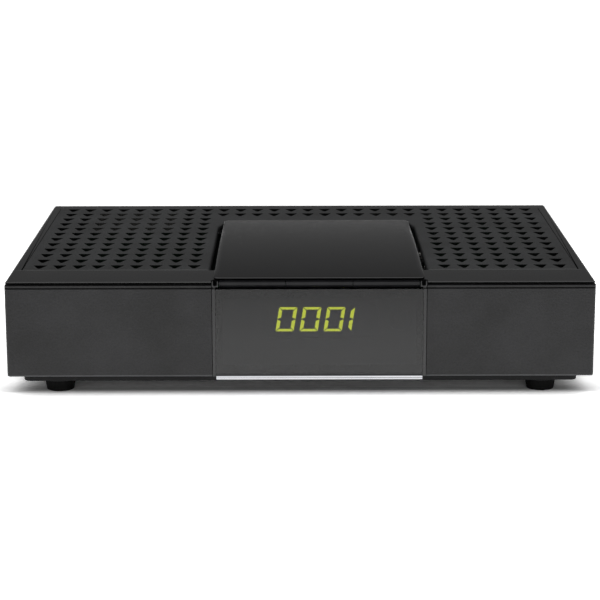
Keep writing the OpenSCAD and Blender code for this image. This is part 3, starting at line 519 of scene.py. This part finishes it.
def sink_line(shape, low, high, depth):
    """Sinks a groove along the width in the faces at the front, between two heights."""
    front = min(vert.co.y for vert in shape.verts)
    for height_of_cut in (low, high):
        cut_across(shape, (0, 0, height_of_cut), (0, 0, 1))
    strip = [face for face in shape.faces if low < face.calc_center_median().z < high
             and face.normal.y < forward and face.calc_center_median().y < front + front_zone]
    bmesh.ops.inset_region(shape, faces=strip, thickness=line_lip, depth=-depth, use_boundary=True,
                           use_even_offset=True)
    return len(strip)


line_from = face_high.z - 0.97 * mm
line_to = face_high.z - 0.52 * mm
line_sunk = 0.9 * mm
lower_band_height = 0.4 * mm
lower_band_lean = 0.13 * mm
corner_round = 1.2 * mm
fine_edge = 0.06 * mm

front_panel = merged_copy("front_panel")
line_faces = sink_line(front_panel, line_from, line_to, line_sunk)
cut_across(front_panel, (0, 0, face_low.z + lower_band_height), (0, 0, 1))
for vert in front_panel.verts:
    behind_face = vert.co.y - face_low.y
    if vert.co.z < face_low.z + near and behind_face < corner_round:
        vert.co.y += lower_band_lean * (1 - behind_face / corner_round)
fine_edges = ease(front_panel, fine_edge, 2)
highlight_top = face_low.z + lower_band_height
# The lower band takes the paler finish: a painted highlight along the edge
highlight_faces = paint(front_panel, lambda spot, facing: facing.y < forward and spot.z < highlight_top)
keep(front_panel, "front_panel_moulding", "front_panel", extra=[painted_edge_highlight])
print("front panel: eased", fine_edges, "edges, line faces", line_faces, "rubbed faces", len(highlight_faces))

# %% [markdown]
# The perforated panel has 216 holes, each a blunt triangle that points to the front. A grid gives
# one cell to each hole, and the cells under the arched plate are deleted. Each open cell is inset, its
# inner face is drawn out into a triangle with soft corners, and the inner faces are deleted. That
# is lighter and cleaner than cutting 216 holes with booleans.

# %% Cells of the perforated panel
panel_low, panel_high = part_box("vent_grille")
bridge_low, bridge_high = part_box("bridge_cover")
columns = 28
rows = 12
pitch_x = 5.65 * mm
pitch_y = 8.14 * mm
first_row = panel_low.y + 4.1 * mm
full_rows = 2
slot_rows = 9
slot_width = 1.55 * mm
slot_end = face_low.y + 86.8 * mm
slot_sides = (bridge_low.x - slot_width, bridge_high.x + slot_width)

panel = bmesh.new()
bmesh.ops.create_grid(panel, x_segments=columns, y_segments=rows, size=0.5)
bmesh.ops.scale(panel, vec=(columns * pitch_x, rows * pitch_y, 1), verts=panel.verts)
middle = Vector((0, first_row + (rows - 1) / 2 * pitch_y, panel_high.z))
bmesh.ops.translate(panel, vec=middle, verts=panel.verts)


def cell_of(spot):
    """Column and row of the cell that a spot lies in."""
    return math.floor(spot.x / pitch_x), round((spot.y - first_row) / pitch_y)


def has_hole(spot):
    """Holes fill the last rows, and in the others keep a cell away from the arched plate."""
    beside = spot.x < bridge_low.x - pitch_x or spot.x > bridge_high.x + pitch_x
    return beside or cell_of(spot)[1] >= rows - full_rows


open_cells = [face for face in panel.faces if has_hole(face.calc_center_median())]
centres = [face.calc_center_median() for face in open_cells]
blank_cells = [face for face in panel.faces
               if face not in open_cells and cell_of(face.calc_center_median())[1] < slot_rows]
bmesh.ops.delete(panel, geom=blank_cells, context="FACES")
notch_back = first_row + (slot_rows - 0.5) * pitch_y
for vert in [vert for vert in panel.verts if vert.is_boundary]:
    x = vert.co.x
    if vert.co.y < panel_low.y + near:
        vert.co.y = panel_low.y
    vert.co.y = min(vert.co.y, panel_high.y)
    if abs(x) > (columns / 2 - 0.1) * pitch_x:
        vert.co.x = math.copysign(panel_high.x, x)
    elif 0 < bridge_low.x - x < pitch_x and vert.co.y < notch_back + near:
        vert.co.x = slot_sides[0]
    elif 0 < x - bridge_high.x < pitch_x and vert.co.y < notch_back + near:
        vert.co.x = slot_sides[1]
print("open cells:", len(open_cells), "cells cut away for the arched plate:", len(blank_cells))

# %% Holes of the perforated panel
hole_half = 1.95 * mm
half_length = 2.45 * mm
flat_side = 2.1 * mm
tip = 0.3 * mm
soft = 0.24 * mm
cell_inset = 0.5 * mm
hole_outline = [(hole_half - soft, flat_side), (0, flat_side), (soft - hole_half, flat_side),
                (-hole_half, flat_side - soft), (-tip, tip / 2 - half_length), (0, -half_length),
                (tip, tip / 2 - half_length), (hole_half, flat_side - soft)]
bmesh.ops.inset_individual(panel, faces=open_cells, thickness=cell_inset)
inner_edges = [edge for face in open_cells for edge in face.edges]
bmesh.ops.bisect_edges(panel, edges=inner_edges, cuts=1)
for face, centre in zip(open_cells, centres):
    loop = max(face.loops, key=lambda corner: corner.vert.co.x + corner.vert.co.y)
    for x, y in hole_outline:
        loop.vert.co = centre + Vector((x, y, 0))
        loop = loop.link_loop_next
bmesh.ops.delete(panel, geom=open_cells, context="FACES_ONLY")
print("holes:", len(centres))

# %% [markdown]
# The notch for the arched plate ends in two corners, which are drawn in to the plate's sides, so
# that each slot beside the plate narrows to a point behind. Then the sheet gets its thickness. Its
# edges along the slots roll down in a broad curve, which gives the soft shade beside the plate, its
# front edge is rounded, and every hole has a fine rim. The holes widen downwards, so their walls
# lean out of the light and look dark.

# %% Edges of the perforated panel
for slot_side, plate_side in zip(slot_sides, (bridge_low.x, bridge_high.x)):
    for vert in panel.verts:
        if abs(vert.co.x - slot_side) < near and abs(vert.co.y - notch_back) < near:
            vert.co = (plate_side, slot_end, panel_high.z)
bmesh.ops.recalc_face_normals(panel, faces=panel.faces)
panel.faces.ensure_lookup_table()
if panel.faces[0].normal.z < 0:
    bmesh.ops.reverse_faces(panel, faces=panel.faces)
bmesh.ops.solidify(panel, geom=panel.faces[:], thickness=panel_high.z - panel_low.z)
levels = sorted({round(vert.co.z / mm, 2) for vert in panel.verts})
print("the panel lies between", levels, "mm")

undercut = 1.3
undercut_shift = 0.4 * mm
holes = {cell_of(centre): centre for centre in centres}
for vert in [vert for vert in panel.verts if vert.co.z < panel_low.z + near]:
    centre = holes.get(cell_of(vert.co))
    away = vert.co - centre if centre else Vector((1, 1, 0))
    if abs(away.x) < hole_half + near and abs(away.y) < half_length + near:
        vert.co.x = centre.x + undercut * away.x
        vert.co.y = centre.y + undercut * away.y + undercut_shift

slot_edge = 1.1 * mm
front_rim_edge = 0.35 * mm
rim_edge = 0.1 * mm
top_skin = 0.01 * mm


def on_top(spot):
    """True on the upper face of the panel."""
    return spot.z > panel_high.z - top_skin


def on_slot(spot):
    """True on the upper edges beside the slots."""
    across = slot_sides[0] - near < spot.x < slot_sides[1] + near
    return on_top(spot) and across and spot.y < notch_back + near


def on_front(spot):
    """True on the upper front edge."""
    return on_top(spot) and spot.y < panel_low.y + near


slot_rims = ease(panel, slot_edge, 4, on_slot)
front_rims = ease(panel, front_rim_edge, 4, on_front)
rims = ease(panel, rim_edge, 2, on_top)
panel_piece = keep(panel, "vent_grille_panel", "vent_grille")
# The panel takes the lighter copy of the grain, which paints light on the top
panel_piece.data.materials[0] = painted_lighter_top_grain
print("edges eased:", slot_rims, "at the slots,", front_rims, "at the front and", rims, "rims")

# %% [markdown]
# A small ear stands at each end of the key row: a trough that is open to the front and upwards. Its two
# lower corners are rounded, which makes a U of it, and its hollow takes a dark, dull finish, which is
# painted shade. The edges to round are found by where they lie and which way they run.

# %% Window frame with its ears
frame_low, frame_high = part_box("window_frame")
ear_width = 1.75 * mm
ear_wall = 0.3 * mm
trough_floor = frame_high.z - 1.35 * mm
trough_round = 0.4 * mm
frame_edge = 0.05 * mm


def in_trough(spot):
    """True for a spot on the walls, the floor or the back of an ear's trough."""
    from_side = min(spot.x - frame_low.x, frame_high.x - spot.x)
    return ear_wall - near < from_side < ear_width - ear_wall + near and spot.z > trough_floor - near


window_frame = merged_copy("window_frame")
corner_edges = [edge for edge in window_frame.edges
                if all(in_trough(vert.co) and vert.co.z < trough_floor + near for vert in edge.verts)
                and abs(edge.verts[0].co.x - edge.verts[1].co.x) < near]
bevel(window_frame, corner_edges, trough_round, 4)
frame_edges = ease(window_frame, frame_edge, 2)
# The trough's walls, floor and back get the dark finish: painted shade in the hollow
paint(window_frame, lambda spot, facing: in_trough(spot) and spot.y > frame_low.y + near)
keep(window_frame, "window_frame_moulding", "window_frame", extra=[painted_shade_abs])
print("rounded trough corners:", len(corner_edges), "eased edges:", frame_edges)

# %% [markdown]
# The bright strip under the window is drawn metal with a soft front and one fine line rolled along its
# middle. The line's faces take a dull dark finish, which is painted shade in the groove.

# %% Trim strip
strip_low, strip_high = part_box("trim_strip")
strip_middle = (strip_low.z + strip_high.z) / 2
trim_line = 0.06 * mm
trim_line_sunk = 0.25 * mm
trim_round = 0.2 * mm

trim_strip = merged_copy("trim_strip")
trim_edges = ease(trim_strip, trim_round, 3)
trim_faces = sink_line(trim_strip, strip_middle - trim_line, strip_middle + trim_line, trim_line_sunk)
line_reach = 1.1 * trim_line
# The groove's faces get the dark finish: painted shade
paint(trim_strip, lambda spot, facing: abs(spot.z - strip_middle) < line_reach and facing.y < -forward)
keep(trim_strip, "trim_strip_piece", "trim_strip", extra=[painted_shade_abs])
print("trim strip: eased edges", trim_edges, "line faces", trim_faces)

# %% [markdown]
# The top cover's border is rounded where it meets the perforated panel, so that the panel's front edge
# shows as a fine light line. A bevel fails here, because it has to end in the inner corners of the panel's
# pocket. So a few cuts give the border the vertices, a quarter circle lowers them, and the round fades out
# before it reaches the corners. All the other edges are just eased. The pocket under the panel takes a
# dark, dull finish, which is painted shade, and shows only through the slots.

# %% Top cover
border_round = 1.0 * mm
round_cuts = 4
round_end = panel_high.x
round_fade = 3 * mm
pocket_slip = 0.15 * mm
pocket_front = panel_low.y - pocket_slip
cover_edge = 0.16 * mm
along_depth = Vector((0, 1, 0))
along_front = Vector((1, 0, 0))
cover_cuts = [(along_front, side * reach) for side in (-1, 1)
              for reach in (round_end, round_end - round_fade)]
for cut in range(round_cuts):
    rise_of_arc = border_round * (1 - math.sin(math.pi / 2 * cut / round_cuts))
    cover_cuts.append((along_depth, pocket_front - rise_of_arc))

top_cover = merged_copy("top_cover")
for axis, reach in cover_cuts:
    cut_across(top_cover, axis * reach, axis)
lowered = 0
for vert in top_cover.verts:
    into_round = vert.co.y - pocket_front + border_round
    share = min(1, (round_end - abs(vert.co.x)) / round_fade)
    if vert.co.z > panel_high.z - near and 0 < into_round < border_round + near and share > 0:
        across = min(into_round, border_round)
        vert.co.z -= share * (border_round - math.sqrt(border_round ** 2 - across ** 2))
        lowered += 1
cover_edges = ease(top_cover, cover_edge, 2)
# The pocket's underside gets the dark finish: painted shade seen through the slots
paint(top_cover, lambda spot, facing: panel_low.x < spot.x < panel_high.x
      and panel_low.y < spot.y < panel_high.y and spot.z < panel_low.z + near)
keep(top_cover, "top_cover_piece", "top_cover", extra=[painted_shade_abs])
print("top cover: lowered vertices", lowered, "eased edges", cover_edges)

# %% [markdown]
# The arched plate curves from front to back, and its two long sides also roll down a little, which
# draws a soft light along them. A few lengthwise cuts near each side give the mesh the vertices for
# that, and a formula lowers them: most at the side, not at all at the nose and the tail.

# %% Arched plate
roll_width = 1.8 * mm
roll_drop = 0.45 * mm
roll_cuts = 4
nose_free = 2 * mm
tail_free = 9 * mm
roll_fade = 12 * mm
plate_skin = 0.88 * mm
plate_edge = 0.2 * mm
plate = merged_copy("bridge_cover")
for cut in range(1, roll_cuts + 1):
    inset_from_side = roll_width * cut / roll_cuts
    for cut_x in (bridge_low.x + inset_from_side, bridge_high.x - inset_from_side):
        cut_across(plate, (cut_x, 0, 0), (1, 0, 0))
for vert in plate.verts:
    from_side = min(vert.co.x - bridge_low.x, bridge_high.x - vert.co.x)
    from_end = min(vert.co.y - bridge_low.y - nose_free, bridge_high.y - tail_free - vert.co.y)
    share = max(0, 1 - from_side / roll_width) ** 2 * min(1, max(0, from_end / roll_fade))
    if vert.co.z > panel_high.z + plate_skin:
        vert.co.z -= roll_drop * share
plate_edges = ease(plate, plate_edge, 3)
keep(plate, "bridge_cover_piece", "bridge_cover")
print("arched plate: eased edges", plate_edges)

# %% [markdown]
# The other large pieces need nothing but softer edges. The radius follows what the piece is: a
# moulded tray has about 0.2 mm, a steel sheet less and a window hardly any. The keys keep crisp
# ends, so that the gaps between them stay thin.

# %% Window, keys, tray and rear panel
keys = ("channel_down", "standby", "channel_up")
ease_nodes({
    "display_window": (0.03, 2), **{key + "_key": (0.03, 1) for key in keys},
    "bottom_tray": (0.2, 2), "rear_panel": (0.12, 2),
})

# %% [markdown]
# The digits lean, and every stroke is a strip with slanted ends. The last digit reads 1, and its two
# strokes have their points on the right, as the right-hand strokes of the other digits do. So they
# are turned over about their own middle line, which leans as the digit does. They stand a hair
# prouder than the unlit strokes, which they then overlap at the tips.

# %% Lit digits
digit_pitch = 6.87 * mm
stroke_width = 1.0 * mm
lean = math.tan(math.radians(9))
proud = 0.02 * mm
stroke_edge = 0.04 * mm
lit_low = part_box("lit_segments")[0]
last_digit = lit_low.x + 3 * digit_pitch
digits = merged_copy("lit_segments")
turned_over = [vert for vert in digits.verts if vert.co.x > last_digit - near]
for vert in turned_over:
    from_left = vert.co.x - last_digit - lean * (vert.co.z - lit_low.z)
    vert.co.x += stroke_width - 2 * from_left
    vert.co.y -= proud
bmesh.ops.recalc_face_normals(digits, faces=digits.faces)
digit_edges = ease(digits, stroke_edge, 2)
keep(digits, "lit_digit_strokes", "lit_segments")
print("digits: corners turned over", len(turned_over), "eased edges", digit_edges)

# %% [markdown]
# Round pieces are turned: half of the section is drawn as a chain of points, each a radius and a
# height, and spun once round. A cylinder could be bevelled into the same shape, but a section says
# every radius in one place, as a drawing for the lathe does. Two more helpers stand a finished shape
# in its place and join copies into one mesh, and a third finds where the CAD has put them.

# %% Helpers for turned and repeated pieces
def turned(section, steps=40):
    """Spins a chain of (radius, height) pairs about Z into a closed solid."""
    shape = bmesh.new()
    chain = [shape.verts.new((radius, 0, height)) for radius, height in section]
    links = [shape.edges.new(pair) for pair in zip(chain, chain[1:])]
    bmesh.ops.spin(shape, geom=chain + links, axis=(0, 0, 1), cent=(0, 0, 0), steps=steps,
                   angle=math.tau, use_merge=True)
    bmesh.ops.remove_doubles(shape, verts=shape.verts, dist=weld_reach)
    bmesh.ops.recalc_face_normals(shape, faces=shape.faces)
    return shape


def stand(shape, place, facing=(0, 0, 1)):
    """Turns a shape that faces up to face another way, and moves it to its place."""
    turn_to = Vector((0, 0, 1)).rotation_difference(Vector(facing)).to_matrix()
    bmesh.ops.rotate(shape, cent=(0, 0, 0), matrix=turn_to, verts=shape.verts)
    bmesh.ops.translate(shape, vec=place, verts=shape.verts)
    return shape


def gathered(shapes):
    """Joins several meshes into one."""
    whole = bmesh.new()
    for shape in shapes:
        passing = bpy.data.meshes.new("passing")
        shape.to_mesh(passing)
        shape.free()
        whole.from_mesh(passing)
        bpy.data.meshes.remove(passing)
    return whole


def solids_of(node):
    """Lowest and highest corners of each separate solid of a node."""
    shape = merged_copy(node)
    boxes = []
    met = set()
    for first in shape.verts:
        if first in met:
            continue
        solid = [first]
        met.add(first)
        for vert in solid:
            fresh = [edge.other_vert(vert) for edge in vert.link_edges if edge.other_vert(vert) not in met]
            met.update(fresh)
            solid.extend(fresh)
        boxes.append((Vector([min(vert.co[i] for vert in solid) for i in range(3)]),
                      Vector([max(vert.co[i] for vert in solid) for i in range(3)])))
    shape.free()
    return boxes


print("case screws:", len(solids_of("case_screws")), "capacitors:", len(solids_of("capacitors")))

# %% [markdown]
# A rubber foot is moulded with a hollow sole, so that it stands on a ring and grips. It widens
# upwards to a rim, and a peg on top holds it in the tray.

# %% Feet
sole_r = 3.95 * mm
hollow_r = 2.4 * mm
hollow_slope = 0.5 * mm
hollow_depth = 0.7 * mm
foot_height = 3.2 * mm
peg_r = 1.8 * mm
foot_edge = 0.14 * mm
for node in ("foot_front_left", "foot_front_right", "foot_rear_left", "foot_rear_right"):
    foot_low, foot_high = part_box(node)
    rim_r = (foot_high.x - foot_low.x) / 2
    foot = turned([(0, hollow_depth), (hollow_r, hollow_depth), (hollow_r + hollow_slope, 0), (sole_r, 0),
                   (rim_r, foot_height), (peg_r, foot_height), (peg_r, foot_high.z), (0, foot_high.z)])
    ease(foot, foot_edge, 3)
    middle_of_foot = (foot_low + foot_high) / 2
    stand(foot, (middle_of_foot.x, middle_of_foot.y, 0))
    keep(foot, node + "_moulding", node)
print("feet stand", round(foot_height / mm, 1), "mm high on rings of", round(2 * sole_r / mm, 1), "mm")

# %% [markdown]
# Every screw has a pan head with a cross for the driver. The head starts as a disc. Cuts across it
# mark out the cross, whose faces are sunk, and then the disc's rim is drawn out and down ring by
# ring: the round of the head, its underside, the shank and the point. A turned section would do
# for the outside, but not for the cross.

# %% Screws
def cross_head_screw(head_r, head_h, shank_r, shank_l):
    """A screw that faces up, with the underside of its head at height 0."""
    flat_r = 0.72 * head_r
    arm_half = 0.13 * head_r
    arm_reach = 0.52 * head_r
    shape = bmesh.new()
    bmesh.ops.create_circle(shape, cap_ends=True, segments=24, radius=flat_r)
    bmesh.ops.translate(shape, vec=(0, 0, head_h), verts=shape.verts)
    for axis in (Vector((1, 0, 0)), Vector((0, 1, 0))):
        for reach in (-arm_reach, -arm_half, arm_half, arm_reach):
            cut_across(shape, axis * reach, axis)
    cross = []
    for face in shape.faces:
        across, along = sorted(abs(x) for x in face.calc_center_median().xy)
        if across < arm_half and along < arm_reach:
            cross.append(face)
    bmesh.ops.inset_region(shape, faces=cross, thickness=0.03 * head_r, depth=-0.5 * head_h,
                           use_boundary=True)
    ring = [edge for edge in shape.edges if edge.is_boundary]
    ring_r = flat_r
    for radius, height in ((0.93 * head_r, 0.8 * head_h), (head_r, 0.4 * head_h), (head_r, 0), (shank_r, 0),
                           (shank_r, shank_r - shank_l), (0.3 * shank_r, -shank_l)):
        grown = bmesh.ops.extrude_edge_only(shape, edges=ring)["geom"]
        ring = [item for item in grown if isinstance(item, bmesh.types.BMEdge) and item.is_boundary]
        for vert in {vert for edge in ring for vert in edge.verts}:
            vert.co = (vert.co.x * radius / ring_r, vert.co.y * radius / ring_r, height)
        ring_r = radius
    bmesh.ops.holes_fill(shape, edges=ring)
    bmesh.ops.recalc_face_normals(shape, faces=shape.faces)
    return shape


# The way the heads face, their height and the radius of the shank in mm
screw_kinds = {
    "case_screws": ((0, 0, -1), 1.8, 1.4),
    "rear_screws": ((0, 1, 0), 1.8, 1.4),
    "board_screws": ((0, 0, 1), 1.5, 1.1),
    "front_board_screws": ((0, 1, 0), 1.5, 1.1),
}
for node, (facing, head_h, shank_r) in screw_kinds.items():
    out = Vector(facing)
    screws = []
    for screw_low, screw_high in solids_of(node):
        size = screw_high - screw_low
        length = abs(size.dot(out))
        half_head = size.x / 2
        screw = cross_head_screw(half_head, head_h * mm, shank_r * mm, length - head_h * mm)
        head_foot = (screw_low + screw_high) / 2 + out * (length / 2 - head_h * mm)
        screws.append(stand(screw, head_foot, facing))
    keep(gathered(screws), node + "_cross_head", node)
    print(node, len(screws), "heads face", facing)

# %% [markdown]
# Flat sockets hold a plastic tongue with a row of gilt contacts. The contacts are part of the same
# mesh: cuts across the tongue mark them out, and an inset with a small depth raises each strip.

# %% Tongues with contacts
contact_lip = 0.03 * mm
contact_rise = 0.04 * mm
tongue_edge = 0.12 * mm


def add_contacts(shape, root, middles, width, upward):
    """Raises gilt strips on one side of a tongue, behind its root."""
    for middle_x in middles:
        for cut_x in (middle_x - width / 2, middle_x + width / 2):
            cut_across(shape, (cut_x, 0, 0), (1, 0, 0))
    strips = paint(shape, lambda spot, facing: spot.y > root and facing.z * upward > 0.9
                   and min(abs(spot.x - middle_x) for middle_x in middles) < width / 2)
    bmesh.ops.inset_individual(shape, faces=strips, thickness=contact_lip, depth=contact_rise)
    return len(strips)


# Depth of the root, count, pitch and width in mm, and the side that the contacts are on
contact_rows = {
    "digital_av_tongue": (3.2, 10, 1.0, 0.5, 1),
    "serial_port_tongue": (4.2, 4, 2.3, 1.1, -1),
}
for node, (root, count, pitch, width, upward) in contact_rows.items():
    tongue_low, tongue_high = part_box(node)
    centre_x = (tongue_low.x + tongue_high.x) / 2
    middles = [centre_x + (i - (count - 1) / 2) * pitch * mm for i in range(count)]
    tongue = merged_copy(node)
    ease(tongue, tongue_edge, 2)
    strips = add_contacts(tongue, tongue_low.y + root * mm, middles, width * mm, upward)
    keep(tongue, node + "_piece", node, extra=[finishes["contact_brass"]])
    print(node, "contacts:", strips)

# %% [markdown]
# A board capacitor is an aluminium can in a dark sleeve, which is shrunk on over the rim and leaves
# only the sunk top bare. A groove rolled in near the foot holds the seal. The can is turned too, and
# every face but those of the top takes the finish of the sleeve.

# %% Capacitors
groove = 0.3 * mm
groove_up = 1.8 * mm
groove_half = 0.5 * mm
can_edge = 0.15 * mm
can_steps = 28
# Thin PVC tube, shrunk on with hot air: smooth, with a soft shine
shrunk_sleeve = moulded_plastic("shrunk_pvc", "#101113", 0.32, 0.6 * mm, 0.01 * mm)
cans = []
for can_low, can_high in solids_of("capacitors"):
    can_r = (can_high.x - can_low.x) / 2
    tall = can_high.z - can_low.z
    can = turned([(0, 0), (can_r, 0), (can_r, groove_up - groove_half), (can_r - groove, groove_up),
                  (can_r, groove_up + groove_half), (can_r, tall), (can_r - 3 * groove, tall),
                  (can_r - 4 * groove, tall - groove), (0, tall - groove)], can_steps)
    ease(can, can_edge, 2)
    paint(can, lambda spot, facing: spot.z < tall - 1.5 * groove or spot.xy.length > can_r - 4 * groove)
    cans.append(stand(can, ((can_low.x + can_high.x) / 2, (can_low.y + can_high.y) / 2, can_low.z)))
keep(gathered(cans), "capacitor_cans", "capacitors", extra=[shrunk_sleeve])
print("capacitors:", len(cans))

# %% [markdown]
# The memory chips are epoxy blocks with a row of bent legs along two sides. A leg is a strip drawn
# out edge by edge, out of the body, down and out again along the board, and then given its
# thickness. A cut corner marks the first leg.

# %% Memory chips
leg_count = 12
leg_width = 0.35 * mm
leg_sheet = 0.12 * mm
leg_path = ((0.0, 0.55), (0.35, 0.55), (0.55, 0.1), (1.0, 0.1))
cut_corner = 0.9 * mm
chip_edge = 0.15 * mm
chips = []
for chip_low, chip_high in solids_of("memory_chips"):
    body = bmesh.new()
    bmesh.ops.create_cube(body, size=1)
    bmesh.ops.scale(body, vec=chip_high - chip_low, verts=body.verts)
    bmesh.ops.translate(body, vec=(chip_low + chip_high) / 2, verts=body.verts)
    ease(body, cut_corner, 1, lambda spot: spot.x < chip_low.x + near and spot.y < chip_low.y + near)
    ease(body, chip_edge, 1)
    chips.append(body)
    leg_pitch = (chip_high.x - chip_low.x) / (leg_count + 1)
    for side, edge_y in ((-1, chip_low.y), (1, chip_high.y)):
        for i in range(1, leg_count + 1):
            leg_x = chip_low.x + i * leg_pitch
            leg = bmesh.new()
            ends = [leg.verts.new((leg_x + reach * leg_width / 2, edge_y, chip_low.z + leg_path[0][1] * mm))
                    for reach in (-1, 1)]
            bend = [leg.edges.new(ends)]
            for out, up in leg_path[1:]:
                grown = bmesh.ops.extrude_edge_only(leg, edges=bend)["geom"]
                bent = [item for item in grown if isinstance(item, bmesh.types.BMVert)]
                bend = [item for item in grown if isinstance(item, bmesh.types.BMEdge)
                        and all(vert in bent for vert in item.verts)]
                for vert in bent:
                    vert.co.y = edge_y + side * out * mm
                    vert.co.z = chip_low.z + up * mm
            bmesh.ops.recalc_face_normals(leg, faces=leg.faces)
            bmesh.ops.solidify(leg, geom=leg.faces[:], thickness=leg_sheet)
            bmesh.ops.recalc_face_normals(leg, faces=leg.faces)
            paint(leg, lambda spot, facing: True)
            chips.append(leg)
keep(gathered(chips), "memory_chips_with_legs", "memory_chips", extra=[finishes["screw_steel"]])
print("chip bodies and legs:", len(chips))

# %% [markdown]
# The sockets at the rear and the parts inside have the right shapes already, and only their edges
# are too sharp: a turned barrel has a small chamfer, a pressed can a soft bend, a moulded block a
# fine round. The eye of the remote receiver is a dome, so its front edge gets a broad round.

# %% Edges of sockets and inner parts
ease_nodes({
    "aerial_input_shell": (0.25, 3), "aerial_input_insulator": (0.15, 2), "aerial_input_contact": (0.12, 2),
    "aerial_output_shell": (0.2, 3), "aerial_output_insulator": (0.15, 2), "aerial_output_pin": (0.5, 4),
    "euro_av_socket": (0.15, 2), "euro_av_contacts": (0.1, 1), "digital_av_shell": (0.1, 2),
    "serial_port_shell": (0.1, 2), "digital_audio_body": (0.15, 2), "digital_audio_ring": (0.2, 3),
    "power_jack_body": (0.2, 2), "power_jack_pin": (0.4, 4), "tuner_can": (0.25, 3), "heat_sink": (0.12, 1),
    "processor": (0.2, 2), "power_coils": (0.5, 3), "crystal": (0.4, 3), "ribbon_sockets": (0.2, 2),
    "display_module": (0.15, 2), **{key + "_switch": (0.15, 2) for key in keys},
    **{key + "_plunger": (0.2, 2) for key in keys}, "dark_segments": (0.03, 1),
})

eye_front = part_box("infrared_receiver")[0].y
eye_round = 0.9 * mm
eye_edge = 0.2 * mm
eye = merged_copy("infrared_receiver")
dome_edges = ease(eye, eye_round, 6, lambda spot: spot.y < eye_front + near)
eye_edges = ease(eye, eye_edge, 2)
keep(eye, "infrared_receiver_piece", "infrared_receiver")
print("remote receiver: dome edges", dome_edges, "other edges", eye_edges)

# %% [markdown]
# Whatever is not replaced keeps its CAD mesh and gets its finish.

# %% Finishes of the remaining nodes
for node in frame["nodes"].values():
    if not node.hide_render:
        node.data.materials[0] = finishes[node.data.materials[0].name]
